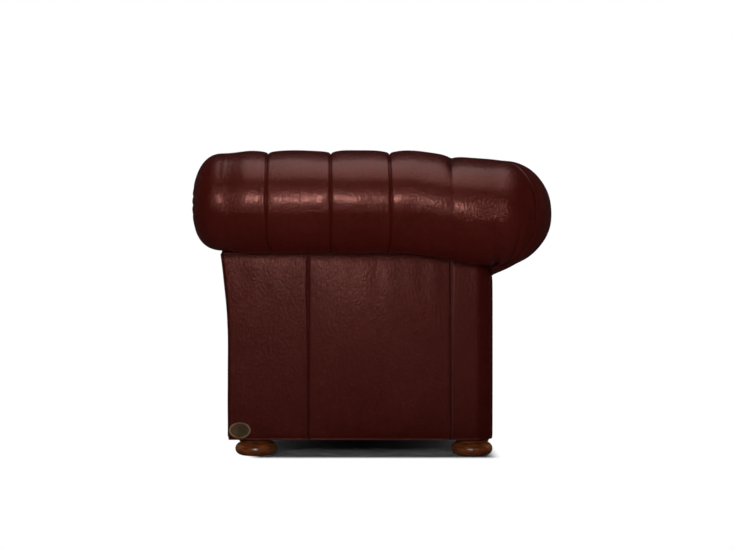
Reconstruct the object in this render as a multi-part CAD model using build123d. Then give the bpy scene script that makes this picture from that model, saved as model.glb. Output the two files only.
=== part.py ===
from build123d import *

import os
from math import acos, atan2, cos, hypot, radians, sin, sqrt

# A low-back scroll-arm club armchair, upholstered in buttoned leather, as its separate pieces.
#
# Millimetres, +Z up, the sitter faces -Y and the sitter's left arm is on +X. The origin is on the
# floor, in the middle of the chair's width and depth. Left-hand pieces are modelled and the
# right-hand ones are their mirror images.

# ---------------------------------------------------------------- driving dimensions
overall_height = 760.0
half_depth = 436.0  # from the origin to the front of the arm rolls and the back of the back roll
body_half_width = 400.0  # outer leather of the side panels
body_bottom = 47.0
body_corner_radius = 45.0  # upright rear corners, in plan
front_overhang = 75.5  # the arm rolls reach this far in front of the front panels
back_overhang = 140.0  # the back roll reaches this far behind the outer back

arm_roll_radius = 127.0
back_roll_radius = 133.0
back_roll_crown = 14.0  # the back roll stands this much higher in its middle than at its corners
arm_roll_drop = 27.0  # the arm roll's centre falls this much towards the rear corner
arm_roll_fall = 243.0  # over this length
back_roll_level_half = 90.0  # half of the back roll's level middle
roll_front_rounding = 60.0
rosette_dimple = 15.0
rosette_dimple_radius = 46.0

cover = 3.0  # leather with its fibre lining
panel_leather = 4.0
backing_board = 4.0
inner_board = 3.0
front_pad = 10.5  # leather and padding of the front panels

arm_lean = 11.0  # from the height of the roll's centre down to the deck, an inner face leans in
back_lean = 40.0
inner_slab_thickness = 37.0  # padding behind an arm's inner face, at the deck
slab_gap = 1.0  # between an arm's inner padding and the back spring rail

# timber
frame_lift = 3.0  # of the frame above the lower edge of the leather
rail_thickness = 28.0
rail_height = 90.0
former_thickness = 24.0
post_width = 44.0
post_depth = 64.0
spring_rail_top = 262.0
spring_rail_height = 60.0
top_rail_drop = 48.0  # of its underside below the arm roll's centre
top_rail_thickness = 30.0
top_rail_width = 60.0
tuck_gap = 26.0  # the covers are drawn under the tuck rails, through this gap
tuck_rail_height = 40.0
tuck_rail_thickness = 20.0
tacking_rail_drop = 187.0  # of its underside below the arm roll's centre
tacking_rail_height = 28.0
tacking_rail_thickness = 24.0
former_head_radius = 92.0
former_neck_drop = 60.0  # of the neck's top below the arm roll's centre
former_shoulder = 45.0  # how far below the top rail a former's inner corner is cut away
mid_former_setback = 310.0  # behind the frame's front
back_former_x = 160.0
rail_block_x = 150.0
rail_block_width = 40.0
back_top_rail_depth = 30.0

# seat suspension
spring_count = 5
spring_spacing = 108.0
spring_wire = 3.8
spring_half_width = 24.0
spring_loops = 14
clip_width = 16.0
clip_length = 24.0
clip_thickness = 1.5
webbing_width = 42.0
webbing_least_gap = 5.0  # between two bands
webbing_rise = 12.0  # of the lowest band above the tuck rails
webbing_top_rise = 4.0  # of the highest band above the tacking rails
webbing_landing = 14.0  # how far it laps onto the rear posts
webbing_thickness = 1.6
deck_thickness = 20.0
soft_gap = 0.3  # between a soft piece and what it lies on

# front border and front panels
border_thickness = 12.0
border_lip = 50.0
panel_gap = 0.5
flare_start = 300.0  # height where the front panels begin to lean forward
flare = 18.0  # how far forward they lean at the underside of the roll
flare_top = 6.0  # and how much further at their topmost corner
cusp_rise = 79.0  # of that corner above the underside of the roll

# side and back panels
side_seam_front = 187.0  # behind the frame's front
side_seam_rear = 107.0  # ahead of the outer back
seam_gap = 1.0
back_seam = 165.0
panel_under_roll = 3.0
back_panel_drop = 157.0  # of its top edge below the centre of the back roll's ends
back_tail_gap = 2.0  # between that edge and the leather drawn down from the roll
board_margin = 1.0  # of the outer back's board inside its leather

# seat cushion
cushion_side_gap = 2.0
cushion_back_gap = 1.0
cushion_overhang = 18.0  # in front of the frame
cushion_top = 444.0
cushion_crown = 13.0
cushion_corner = 32.0
cushion_wall = 5.0
cushion_panel = 3.0
zip_end = 45.0  # from the cushion's side to the end of its zip
zip_height = 14.0
zip_depth = 3.5
zip_drop = 84.0  # of the zip below the cushion's top
zip_chain_height = 6.0
zip_chain_thickness = 1.2
zip_running_gap = 0.3
slider_length = 16.0
slider_height = 10.0
slider_thickness = 4.0
slider_corner = 3.0
pull_width = 6.0
pull_drop = 24.0
pull_rise = 3.0
pull_thickness = 1.4
pull_corner = 2.5
pull_hole_radius = 1.4
pull_hole_drop = 19.0

# buttons
button_radius = 14.0
button_height = 8.0
button_clearance = 1.0  # round a button, at the bottom of its dimple
dimple_depth = 22.0
dimple_radius = 38.0
arm_pleat_setbacks = (92.0, 245.0, 388.0)  # behind the frame's front
back_pleat = 150.0
arm_button_low_drop = 118.0  # of the low and middle rows below the arm roll's centre
arm_button_mid_drop = 21.0
outer_button_drop = 5.0  # of the outer buttons in the back's top row
top_row_angle = 38.0  # above the horizontal, round the roll
rosette_radius = 21.0
rosette_height = 12.0

# feet
foot_side_inset = 67.0  # of a foot's centre inside the side leather
foot_front_setback = 53.0  # behind the frame's front
foot_rear_inset = 50.0  # ahead of the outer back
foot_radius = 52.0
foot_collar_radius = 43.0
foot_collar_rounding = 3.0
foot_base_radius = 33.0
foot_waist = 33.5  # height of the groove between bun and collar
foot_waist_depth = 5.0
glide_height = 3.0
glide_radius = 16.0
bolt_radius = 4.0
bolt_clearance = 0.05
bolt_bottom = 18.0
bolt_end_gap = 1.0  # under the bolt in its foot
bolt_top_drop = 2.0  # below the top of its tee nut
tee_nut_barrel = 5.2
tee_nut_flange = 11.0
tee_nut_flange_thickness = 1.5
tee_nut_length = 13.5
block_height = 40.0
front_block_reach = 29.0  # of a corner block past its foot's centre
rear_block_reach = 32.0
dust_cloth = 1.5
cloth_inset = 2.0
cloth_hole_margin = 1.0

# trim
badge_half_length = 26.5
badge_half_height = 19.5
badge_thickness = 2.5
badge_rim = 2.5
badge_recess = 0.8
badge_setback = 19.0  # behind the frame's front
badge_rise = 24.0  # above the lower edge of the leather

# ---------------------------------------------------------------- sizes that follow
arm_roll_z = overall_height - arm_roll_radius
corner_z = arm_roll_z - arm_roll_drop
roll_x = body_half_width
back_roll_y = half_depth - back_roll_radius
roll_front = -half_depth
roll_level_end = back_roll_y - arm_roll_fall
body_front = roll_front + front_overhang
body_back = half_depth - back_overhang
frame_front = body_front + front_pad
frame_back = body_back - panel_leather - backing_board
frame_half_width = body_half_width - panel_leather - backing_board
frame_bottom = body_bottom + frame_lift
spring_rail_bottom = spring_rail_top - spring_rail_height
top_rail_bottom = arm_roll_z - top_rail_drop
tacking_rail_bottom = arm_roll_z - tacking_rail_drop
former_neck_top = arm_roll_z - former_neck_drop
deck_bottom = spring_rail_top + clip_thickness + spring_wire + soft_gap
deck_top = deck_bottom + deck_thickness
slab_bottom = deck_bottom
rail_top = frame_bottom + rail_height
post_inner = body_half_width - panel_leather - post_width
post_front = body_back - panel_leather - post_depth
back_rail_front = frame_back - rail_thickness
spring_rail_back = post_front
spring_rail_front = spring_rail_back - rail_thickness
back_top_rail_front = frame_back - back_top_rail_depth
arm_inner_high = roll_x - arm_roll_radius
arm_inner_low = arm_inner_high - arm_lean
back_inner_high = back_roll_y - back_roll_radius
back_inner_low = back_inner_high - back_lean
arm_slab_back = arm_inner_low + inner_slab_thickness
former_inner_edge = arm_slab_back + inner_board
back_slab_back = spring_rail_front - webbing_thickness - soft_gap
tuck_bottom = spring_rail_top + tuck_gap
tuck_top = tuck_bottom + tuck_rail_height
inner_board_top = top_rail_bottom - 2 * former_shoulder
spring_z = spring_rail_top + clip_thickness + spring_wire / 2
clip_top = spring_z + spring_wire / 2 + clip_thickness
spring_start = frame_front + rail_thickness / 2
spring_end = spring_rail_back - rail_thickness / 2
webbing_bottom = tuck_top + webbing_rise
webbing_top = tacking_rail_bottom + tacking_rail_height + webbing_top_rise
webbing_room = webbing_top - webbing_bottom
webbing_count = int((webbing_room + webbing_least_gap) // (webbing_width + webbing_least_gap))
webbing_spacing = (webbing_room - webbing_width) / max(webbing_count - 1, 1)
front_panel_top = arm_roll_z - arm_roll_radius + cusp_rise
side_seams = (frame_front + side_seam_front, body_back - side_seam_rear)
back_panel_top = corner_z - back_panel_drop
back_board_top = back_panel_top - board_margin
mid_former_y = frame_front + mid_former_setback
cushion_bottom = deck_top + soft_gap
cushion_half_width = arm_inner_low - cushion_side_gap
cushion_front = frame_front - cushion_overhang
cushion_lean = back_lean * (cushion_bottom - slab_bottom) / (corner_z - slab_bottom)
cushion_back = back_inner_low + cushion_lean - cushion_back_gap
zip_length = 2 * (cushion_half_width - zip_end)
zip_z = cushion_top - zip_drop
arm_button_low = arm_roll_z - arm_button_low_drop
arm_button_mid = arm_roll_z - arm_button_mid_drop
arm_pleats = tuple(frame_front + setback for setback in arm_pleat_setbacks)
rosette_seat = rosette_radius + button_clearance
foot_x = body_half_width - foot_side_inset
foot_front_y = frame_front + foot_front_setback
foot_rear_y = body_back - foot_rear_inset
badge_y = frame_front + badge_setback
badge_z = body_bottom + badge_rise
overcut = 1.0  # cutting shapes reach this far past what they cut
far = 1200.0  # further than any piece reaches


# ---------------------------------------------------------------- drawing helpers
def prism_x(points, x0, x1):
    """A prism along X whose outline is a list of (y, z) points."""
    plane = Plane(origin=(x0, 0, 0), x_dir=(0, 1, 0), z_dir=(1, 0, 0))
    return extrude(plane * make_face(Polyline(*points, close=True)), amount=x1 - x0)


def prism_y(points, y0, y1):
    """A prism along Y whose outline is a list of (x, z) points."""
    plane = Plane(origin=(0, y1, 0), x_dir=(1, 0, 0), z_dir=(0, -1, 0))
    return extrude(plane * make_face(Polyline(*points, close=True)), amount=y1 - y0)


def prism_z(points, z0, z1):
    """A prism along Z whose outline is a list of (x, y) points."""
    return extrude(Plane.XY.offset(z0) * make_face(Polyline(*points, close=True)), amount=z1 - z0)


def block(x0, x1, y0, y1, z0, z1):
    """A box between two corners."""
    return Pos((x0 + x1) / 2, (y0 + y1) / 2, (z0 + z1) / 2) * Box(x1 - x0, y1 - y0, z1 - z0)


def upright(x, y, radius, z0, z1):
    """A round bar standing on (x, y)."""
    return Pos(x, y, (z0 + z1) / 2) * Cylinder(radius, z1 - z0)


def across_x(shape):
    """The mirror image of a left-hand piece."""
    return mirror(shape, about=Plane.YZ)


def both_sides(left):
    """Left-hand pieces with their mirror images: a pair of nodes, or one node for a plural name."""
    pieces = {}
    for name, piece in left.items():
        mirrored = [across_x(p) for p in piece] if isinstance(piece, list) else across_x(piece)
        if name.endswith("s"):
            pieces[name] = [piece, mirrored]
        else:
            pieces[name + "_left"] = piece
            pieces[name + "_right"] = mirrored
    return pieces


def ease(t):
    """A smooth step from 0 to 1."""
    return t * t * (3 - 2 * t)


# ---------------------------------------------------------------- volumes of the upholstery
def arm_line(z, inset=0.0):
    """x of an arm's inner face at height z, inset into the upholstery."""
    share = (z - slab_bottom) / (arm_roll_z - slab_bottom)
    return arm_inner_low + (arm_inner_high - arm_inner_low) * max(share, 0.0) + inset


def back_line(z, inset=0.0):
    """y of the back's inner face at height z, inset into the upholstery."""
    share = (z - slab_bottom) / (corner_z - slab_bottom)
    return back_inner_low + (back_inner_high - back_inner_low) * max(share, 0.0) + inset


def mitre(side):
    """The space on the arm's side (+1) or the back's side (-1) of the left rear corner's mitre."""
    near, away = (roll_x - far, back_roll_y - far), (roll_x + far, back_roll_y + far)
    third = (roll_x + side * far, back_roll_y - side * far)
    return prism_z([near, away, third], -far, far)


def corner_wedge(inset, start):
    """An eighth of the ball that rounds the rear corner, from plan angle start to start + 45."""
    radius = back_roll_radius - inset
    centre = (roll_x, back_roll_y, corner_z)
    half_disc = Circle(radius) & Pos(radius, 0) * Rectangle(2 * radius, 2 * radius)
    plane = Plane(origin=centre, x_dir=(cos(radians(start)), sin(radians(start)), 0),
                  z_dir=(sin(radians(start)), -cos(radians(start)), 0))
    return revolve(plane * half_disc, axis=Axis(centre, (0, 0, 1)), revolution_arc=45)


def arm_roll(inset):
    """The left arm's roll to its mitre: rounded front, level part, fall and corner."""
    radius = arm_roll_radius - inset
    rounding = roll_front_rounding - inset
    front = roll_front + inset
    turn = front + rounding
    axis = Axis((roll_x, 0, arm_roll_z), (0, 1, 0))
    profile = Plane(origin=(roll_x, 0, arm_roll_z), x_dir=(1, 0, 0), z_dir=(0, 0, 1))
    outline = [
        Line((0, turn), (radius, turn)),
        RadiusArc((radius, turn), (radius - rounding, front), rounding),
        Line((radius - rounding, front), (rosette_dimple_radius, front)),
        Spline((rosette_dimple_radius, front), (rosette_seat, front + rosette_dimple),
               tangents=((-1, 0), (-1, 0))),
        Line((rosette_seat, front + rosette_dimple), (0, front + rosette_dimple)),
        Line((0, front + rosette_dimple), (0, turn)),
    ]
    nose = revolve(profile * make_face(outline), axis=axis)
    level = extrude(
        Plane(origin=(roll_x, roll_level_end, arm_roll_z), x_dir=(1, 0, 0), z_dir=(0, -1, 0))
        * Circle(radius),
        amount=roll_level_end - turn,
    )
    stations = []
    for share in (0.0, 1 / 3, 2 / 3, 1.0):
        y = roll_level_end + (back_roll_y - roll_level_end) * share
        grown = radius + (back_roll_radius - arm_roll_radius) * ease(share)
        centre = (roll_x, y, arm_roll_z - arm_roll_drop * ease(share))
        stations.append(Plane(origin=centre, x_dir=(1, 0, 0), z_dir=(0, -1, 0)) * Circle(grown))
    fall = loft(stations)
    return (nose + level + fall) & mitre(1)


def arm_volume(inset):
    """The left arm's upholstery, inset from its leather: the roll, its corner and the inner slab."""
    slab = prism_y(
        [
            (arm_line(slab_bottom, inset), slab_bottom),
            (arm_slab_back, slab_bottom),
            (arm_slab_back, arm_roll_z),
            (arm_line(arm_roll_z, inset), arm_roll_z),
        ],
        frame_front,
        spring_rail_front - slab_gap,
    )
    return arm_roll(inset) + corner_wedge(inset, 0) + (slab & mitre(1))


def back_roll(inset):
    """The back's roll between its two mitres, with the tail that runs down to the back panel."""
    radius = back_roll_radius - inset
    stations = []
    for x, rise in (
        (-roll_x, 0.0),
        (-(roll_x + back_roll_level_half) / 2, 0.5),
        (-back_roll_level_half, 1.0),
        (back_roll_level_half, 1.0),
        ((roll_x + back_roll_level_half) / 2, 0.5),
        (roll_x, 0.0),
    ):
        centre = (x, back_roll_y, corner_z + back_roll_crown * rise)
        stations.append(Plane(origin=centre, x_dir=(0, 1, 0), z_dir=(1, 0, 0)) * Circle(radius))
    tube = loft(stations)
    return tube & mitre(-1) & across_x(mitre(-1))


def back_tail(inset):
    """The leather drawn from under the back roll to the top of the back panel."""
    low = back_panel_top + back_tail_gap + sqrt(2) * inset
    radius = back_roll_radius - inset
    along, down = back_roll_y - body_back, corner_z - low
    leave = acos(radius / hypot(along, down)) - atan2(down, -along)
    touch = (back_roll_y + radius * cos(leave), corner_z + radius * sin(leave))
    return prism_x([(body_back, low), touch, (body_back, corner_z)], -post_inner, post_inner)


def back_volume(inset, arms):
    """The back's upholstery, inset from its leather, clear of the two arms."""
    slab = prism_x(
        [
            (back_line(slab_bottom, inset), slab_bottom),
            (back_slab_back, slab_bottom),
            (back_slab_back, corner_z),
            (back_line(corner_z, inset), corner_z),
        ],
        -arm_slab_back,
        arm_slab_back,
    )
    wedge = corner_wedge(inset, 45)
    rolls = back_roll(inset) + wedge + across_x(wedge) + back_tail(inset)
    return rolls + (slab - arms)


# ---------------------------------------------------------------- buttons and their dimples
def arm_button_places():
    """(centre, outward direction) of each button on the left arm."""
    staggered = [(a + b) / 2 for a, b in zip(arm_pleats, arm_pleats[1:])]
    staggered = [staggered[0] - (staggered[1] - staggered[0]), *staggered, 2 * staggered[1] - staggered[0]]
    up = radians(top_row_angle)
    top = (roll_x - arm_roll_radius * cos(up), arm_roll_z + arm_roll_radius * sin(up))
    places = [((top[0], y, top[1]), (-cos(up), 0, sin(up))) for y in arm_pleats]
    places += [((arm_line(arm_button_mid), y, arm_button_mid), (-1, 0, 0)) for y in staggered]
    places += [((arm_line(arm_button_low), y, arm_button_low), (-1, 0, 0)) for y in arm_pleats]
    return places


def back_button_places():
    """(centre, outward direction) of each button on the back."""
    up = radians(top_row_angle)
    top_z = corner_z + back_roll_crown
    top = (back_roll_y - back_roll_radius * cos(up), top_z + back_roll_radius * sin(up))
    pairs = [-1.5, -0.5, 0.5, 1.5]
    places = [((k * back_pleat, top[0], top[1]), (0, -cos(up), sin(up))) for k in pairs[1:3]]
    outer_z = top[1] - outer_button_drop
    places += [((k * back_pleat, top[0], outer_z), (0, -cos(up), sin(up))) for k in (pairs[0], pairs[3])]
    middle = arm_button_mid - arm_roll_drop / 2
    places += [((k * back_pleat, back_line(middle), middle), (0, -1, 0)) for k in (-1, 0, 1)]
    low = arm_button_low - arm_roll_drop / 2
    places += [((k * back_pleat, back_line(low), low), (0, -1, 0)) for k in pairs]
    return places


def dimples(places, inset):
    """The cone that each button draws into the upholstery, grown by the inset."""
    cones = []
    for centre, out in places:
        frame = Plane(origin=centre, z_dir=out)
        sink = dimple_depth + inset
        tool = Cone(button_radius + button_clearance + inset, dimple_radius + inset, sink,
                    align=(Align.CENTER, Align.CENTER, Align.MIN))
        collar = Cylinder(dimple_radius + inset, dimple_depth,
                          align=(Align.CENTER, Align.CENTER, Align.MIN))
        cones.append(frame * Pos(0, 0, -sink) * tool)
        cones.append(frame * collar)
    return cones


def covered_button(radius, height):
    """A domed, leather-covered button standing on its flat back."""
    widest = 0.4 * height
    dome = height - widest
    dome_radius = (radius**2 + dome**2) / (2 * dome)
    outline = [
        Line((0, 0), (radius - widest / 2, 0)),
        ThreePointArc((radius - widest / 2, 0), (radius - widest / 8, widest / 3), (radius, widest)),
        RadiusArc((radius, widest), (0, height), -dome_radius),
        Line((0, height), (0, 0)),
    ]
    return revolve(Plane.XZ * make_face(outline), axis=Axis.Z)


def buttons(places):
    """A covered button at the bottom of each dimple."""
    head = covered_button(button_radius, button_height)
    return [Plane(origin=c, z_dir=out) * Pos(0, 0, -dimple_depth) * head for c, out in places]


# ---------------------------------------------------------------- timber frame
def front_former():
    """The scroll-headed board at the front of the left arm."""
    neck = block(former_inner_edge, frame_half_width, frame_front, frame_front + former_thickness,
                 frame_bottom, former_neck_top)
    head = extrude(
        Plane(origin=(roll_x, frame_front + former_thickness, arm_roll_z), x_dir=(1, 0, 0),
              z_dir=(0, -1, 0)) * Circle(former_head_radius),
        amount=former_thickness,
    )
    return neck + head


def mid_former():
    """The upright board in the middle of the left arm, notched over the long rails."""
    tuck_outer = former_inner_edge + tuck_rail_thickness
    tacking_top = tacking_rail_bottom + tacking_rail_height
    tacking_inner = frame_half_width - tacking_rail_thickness
    rail_inner = frame_half_width - rail_thickness
    outline = [
        (rail_inner, rail_top),
        (frame_half_width, rail_top),
        (frame_half_width, tacking_rail_bottom),
        (tacking_inner, tacking_rail_bottom),
        (tacking_inner, tacking_top),
        (frame_half_width, tacking_top),
        (frame_half_width, top_rail_bottom),
        (frame_half_width - top_rail_width, top_rail_bottom),
        (former_inner_edge, top_rail_bottom - former_shoulder),
        (former_inner_edge, tuck_top),
        (tuck_outer, tuck_top),
        (tuck_outer, tuck_bottom),
        (rail_inner, spring_rail_bottom),
    ]
    return prism_y(outline, mid_former_y, mid_former_y + former_thickness)


def corner_post():
    """The left rear post, its outer edge rounded for the leather."""
    x1, y1 = body_half_width - panel_leather, body_back - panel_leather
    post = block(post_inner, x1, post_front, y1, frame_bottom, top_rail_bottom)
    uprights = post.edges().filter_by(Axis.Z)
    outer = max(uprights, key=lambda edge: edge.center().X + edge.center().Y)
    return fillet(outer, body_corner_radius - panel_leather)


def back_former():
    """An upright board in the back, from the seat rail to the top rail."""
    tuck_back = spring_rail_front + tuck_rail_thickness
    outline = [
        (back_rail_front, rail_top),
        (frame_back, rail_top),
        (frame_back, top_rail_bottom),
        (back_top_rail_front, top_rail_bottom),
        (spring_rail_front, top_rail_bottom - 2 * former_shoulder),
        (spring_rail_front, tuck_top),
        (tuck_back, tuck_top),
        (tuck_back, spring_rail_top),
        (back_rail_front, spring_rail_top),
    ]
    return prism_x(outline, back_former_x - former_thickness / 2, back_former_x + former_thickness / 2)


def corner_block(rear):
    """The glued block behind a foot, bored for the tee nut."""
    if rear:
        body = block(former_inner_edge, post_inner, foot_rear_y - rear_block_reach, back_rail_front,
                     frame_bottom, frame_bottom + block_height)
        y = foot_rear_y
    else:
        body = block(former_inner_edge, frame_half_width - rail_thickness,
                     frame_front + former_thickness, foot_front_y + front_block_reach,
                     frame_bottom, frame_bottom + block_height)
        y = foot_front_y
    return body - upright(foot_x, y, tee_nut_barrel + bolt_clearance, 0, far)


def frame_pieces():
    """Every piece of timber, by node name."""
    rail_inner = frame_half_width - rail_thickness
    inner = former_inner_edge
    front_back_face = frame_front + rail_thickness
    former_back = frame_front + former_thickness
    left = {
        "side_rails": block(rail_inner, frame_half_width, former_back, post_front,
                           frame_bottom, rail_top),
        "front_arm_former": front_former(),
        "mid_arm_formers": mid_former(),
        "rear_posts": corner_post(),
        "arm_top_rails": block(frame_half_width - top_rail_width, frame_half_width, former_back,
                              back_top_rail_front, top_rail_bottom,
                              top_rail_bottom + top_rail_thickness),
        "arm_tuck_rails": block(inner, inner + tuck_rail_thickness, former_back, spring_rail_back,
                               tuck_bottom, tuck_top),
        "arm_tacking_rails": block(frame_half_width - tacking_rail_thickness, frame_half_width,
                                  former_back, post_front, tacking_rail_bottom,
                                  tacking_rail_bottom + tacking_rail_height),
        "inner_arm_boards": block(arm_slab_back, inner, frame_front, spring_rail_front - slab_gap,
                                 slab_bottom, inner_board_top),
    }
    pieces = both_sides(left)
    pieces["front_seat_rail"] = block(-inner, inner, frame_front, front_back_face,
                                      frame_bottom, rail_top)
    pieces["front_spring_rail"] = block(-inner, inner, frame_front, front_back_face,
                                        spring_rail_bottom, spring_rail_top)
    pieces["front_rail_blocks"] = [
        block(x - rail_block_width / 2, x + rail_block_width / 2, frame_front, front_back_face,
              rail_top, spring_rail_bottom)
        for x in (-rail_block_x, rail_block_x)
    ]
    pieces["back_seat_rail"] = block(-post_inner, post_inner, back_rail_front, frame_back,
                                     frame_bottom, rail_top)
    pieces["back_spring_rail"] = block(-frame_half_width, frame_half_width, spring_rail_front,
                                       spring_rail_back, spring_rail_bottom, spring_rail_top)
    pieces["back_tuck_rail"] = block(-inner, inner, spring_rail_front,
                                     spring_rail_front + tuck_rail_thickness, tuck_bottom, tuck_top)
    pieces["back_top_rail"] = block(-frame_half_width, frame_half_width, back_top_rail_front,
                                    frame_back, top_rail_bottom,
                                    top_rail_bottom + top_rail_thickness)
    former = back_former()
    pieces["back_formers"] = [former, across_x(former)]
    half = back_former_x - former_thickness / 2
    post_face = post_inner
    tacking = [(-post_face, -back_former_x - former_thickness / 2), (-half, half),
               (back_former_x + former_thickness / 2, post_face)]
    pieces["back_tacking_rail"] = [
        block(a, b, frame_back - tacking_rail_thickness, frame_back,
              back_board_top - tacking_rail_height, back_board_top)
        for a, b in tacking
    ]
    blocks = [corner_block(False), corner_block(True)]
    pieces["corner_blocks"] = blocks + [across_x(b) for b in blocks]
    return pieces


# ---------------------------------------------------------------- seat suspension
def zigzag_spring(x):
    """A sinuous spring along Y: straight legs joined by half loops, in round wire drawn six-sided."""
    start = spring_start
    pitch = (spring_end - start) / spring_loops
    z = spring_z
    loop = pitch / 2
    reach = spring_half_width - loop
    path = []
    side = 1
    at = (x - reach, start, z)
    for k in range(spring_loops + 1):
        y = start + k * pitch
        across = (x + side * reach, y, z)
        path.append(Line(at, across))
        if k < spring_loops:
            at = (x + side * reach, y + pitch, z)
            crest = (x + side * (reach + loop), y + loop, z)
            path.append(ThreePointArc(across, crest, at))
        side = -side
    wire = Wire(path)
    section = Plane(origin=(x - reach, start, z), z_dir=(1, 0, 0)) * RegularPolygon(
        spring_wire / 2, 6)
    return sweep(section, path=wire, transition=Transition.ROUND)


def spring_clip(x, y):
    """The folded clip that holds a spring's end leg down on its rail."""
    outer = block(x - clip_width / 2, x + clip_width / 2, y - clip_length / 2, y + clip_length / 2,
                  spring_rail_top, clip_top)
    slot = block(x - clip_width, x + clip_width, y - spring_wire, y + clip_length,
                 spring_rail_top + clip_thickness, clip_top - clip_thickness)
    return outer - slot


def suspension_pieces():
    """Springs, clips, webbing and the deck they carry."""
    pieces = {}
    places = [(k - (spring_count - 1) / 2) * spring_spacing for k in range(spring_count)]
    for number, x in enumerate(places, 1):
        pieces[f"seat_spring_{number}"] = zigzag_spring(x)
    clips = []
    for x in places:
        clips.append(spring_clip(x, spring_start))
        clips.append(Rot(0, 0, 180) * spring_clip(-x, -spring_end))
    pieces["spring_clips"] = clips
    half = arm_inner_low - panel_gap
    pieces["seat_deck"] = block(-half, half, frame_front + border_lip, back_inner_low - panel_gap,
                                deck_bottom, deck_top)
    former_edge = back_former_x + former_thickness / 2
    landing = post_inner + webbing_landing
    behind = [(-landing, post_front), (-post_inner, post_front),
              (-former_edge, spring_rail_front), (former_edge, spring_rail_front),
              (post_inner, post_front), (landing, post_front)]
    ahead = [(x, y - webbing_thickness) for x, y in reversed(behind)]
    levels = [webbing_bottom + k * webbing_spacing for k in range(webbing_count)]
    pieces["back_webbing"] = [prism_z(behind + ahead, z, z + webbing_width) for z in levels]
    return pieces


# ---------------------------------------------------------------- leather panels and trim
def side_top(y):
    """Height of a side panel's top edge at y, under the falling roll."""
    share = min(max((y - roll_level_end) / (back_roll_y - roll_level_end), 0.0), 1.0)
    drop = (arm_roll_drop + back_roll_radius - arm_roll_radius) * ease(share)
    return arm_roll_z - arm_roll_radius - panel_under_roll - drop


def side_board():
    """The stiff board behind the left side leather."""
    x0, x1 = frame_half_width, frame_half_width + backing_board
    outline = [(frame_front, frame_bottom), (post_front, frame_bottom),
               (post_front, side_top(post_front)), (roll_level_end, side_top(roll_level_end)),
               (frame_front, side_top(frame_front))]
    return prism_x(outline, x0, x1)


def side_leather():
    """The left side's three sewn panels; the rear one turns the corner to the back."""
    x0, x1 = body_half_width - panel_leather, body_half_width
    first, second = side_seams
    half = seam_gap / 2
    front = prism_x([(frame_front, body_bottom), (first - half, body_bottom),
                     (first - half, side_top(first)), (frame_front, side_top(frame_front))], x0, x1)
    middle = prism_x([(first + half, body_bottom), (second - half, body_bottom),
                      (second - half, side_top(second)), (roll_level_end, side_top(roll_level_end)),
                      (first + half, side_top(first))], x0, x1)
    turn_x = body_half_width - body_corner_radius
    turn_y = body_back - body_corner_radius
    outer = body_corner_radius
    inner = body_corner_radius - panel_leather
    diagonal = sqrt(0.5)
    outline = [
        Line((x1, second + half), (x1, turn_y)),
        ThreePointArc((x1, turn_y), (turn_x + outer * diagonal, turn_y + outer * diagonal),
                      (turn_x, body_back)),
        Line((turn_x, body_back), (turn_x, body_back - panel_leather)),
        ThreePointArc((turn_x, body_back - panel_leather),
                      (turn_x + inner * diagonal, turn_y + inner * diagonal), (x0, turn_y)),
        Line((x0, turn_y), (x0, second + half)),
        Line((x0, second + half), (x1, second + half)),
    ]
    whole = extrude(Plane.XY.offset(body_bottom) * make_face(outline), amount=arm_roll_z - body_bottom)
    top = prism_x([(second, 0), (body_back + overcut, 0),
                   (body_back + overcut, back_panel_top), (turn_y, side_top(turn_y)),
                   (second, side_top(second))], 0, far)
    return [front, middle, whole & top]


def front_panel():
    """The padded leather front of the left arm, from the floor end to the underside of the roll."""
    reach = arm_roll_radius + panel_gap
    low = arm_roll_z - reach
    cusp_x = roll_x - sqrt(reach**2 - (arm_roll_z - front_panel_top) ** 2)
    angle = radians(235)
    middle = (roll_x + reach * cos(angle), arm_roll_z + reach * sin(angle))
    face = make_face([
        Line((arm_inner_low, body_bottom), (body_half_width, body_bottom)),
        Line((body_half_width, body_bottom), (body_half_width, low)),
        ThreePointArc((body_half_width, low), middle, (cusp_x, front_panel_top)),
        Line((cusp_x, front_panel_top), (arm_line(front_panel_top), front_panel_top)),
        Line((arm_line(front_panel_top), front_panel_top), (arm_inner_low, slab_bottom)),
        Line((arm_inner_low, slab_bottom), (arm_inner_low, body_bottom)),
    ])
    plane = Plane(origin=(0, frame_front, 0), x_dir=(1, 0, 0), z_dir=(0, -1, 0))
    slab = extrude(plane * face, amount=far)
    crest = body_front - flare - flare_top
    side = make_face([
        Line((frame_front, body_bottom), (body_front, body_bottom)),
        Line((body_front, body_bottom), (body_front, flare_start)),
        Spline((body_front, flare_start), (body_front - flare, low),
               (crest, front_panel_top), tangents=((0, 1), (-0.1, 1))),
        Line((crest, front_panel_top), (frame_front, front_panel_top)),
        Line((frame_front, front_panel_top), (frame_front, body_bottom)),
    ])
    profile = extrude(Plane(origin=(0, 0, 0), x_dir=(0, 1, 0), z_dir=(1, 0, 0)) * side, amount=far)
    return slab & profile


def front_border():
    """The padded leather front below the cushion, with the lip that turns over the spring rail."""
    half = arm_inner_low - panel_gap
    lip_back = frame_front + border_lip - panel_gap
    lip_bottom = clip_top + soft_gap
    face = frame_front - border_thickness
    outline = [(frame_front, body_bottom), (face, body_bottom), (face, deck_top),
               (lip_back, deck_top), (lip_back, lip_bottom), (frame_front, lip_bottom)]
    border = prism_x(outline, -half, half)
    edge = [e for e in border.edges().filter_by(Axis.X)
            if abs(e.center().Y - face) < overcut and abs(e.center().Z - deck_top) < overcut]
    return fillet(edge, border_thickness)


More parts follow.
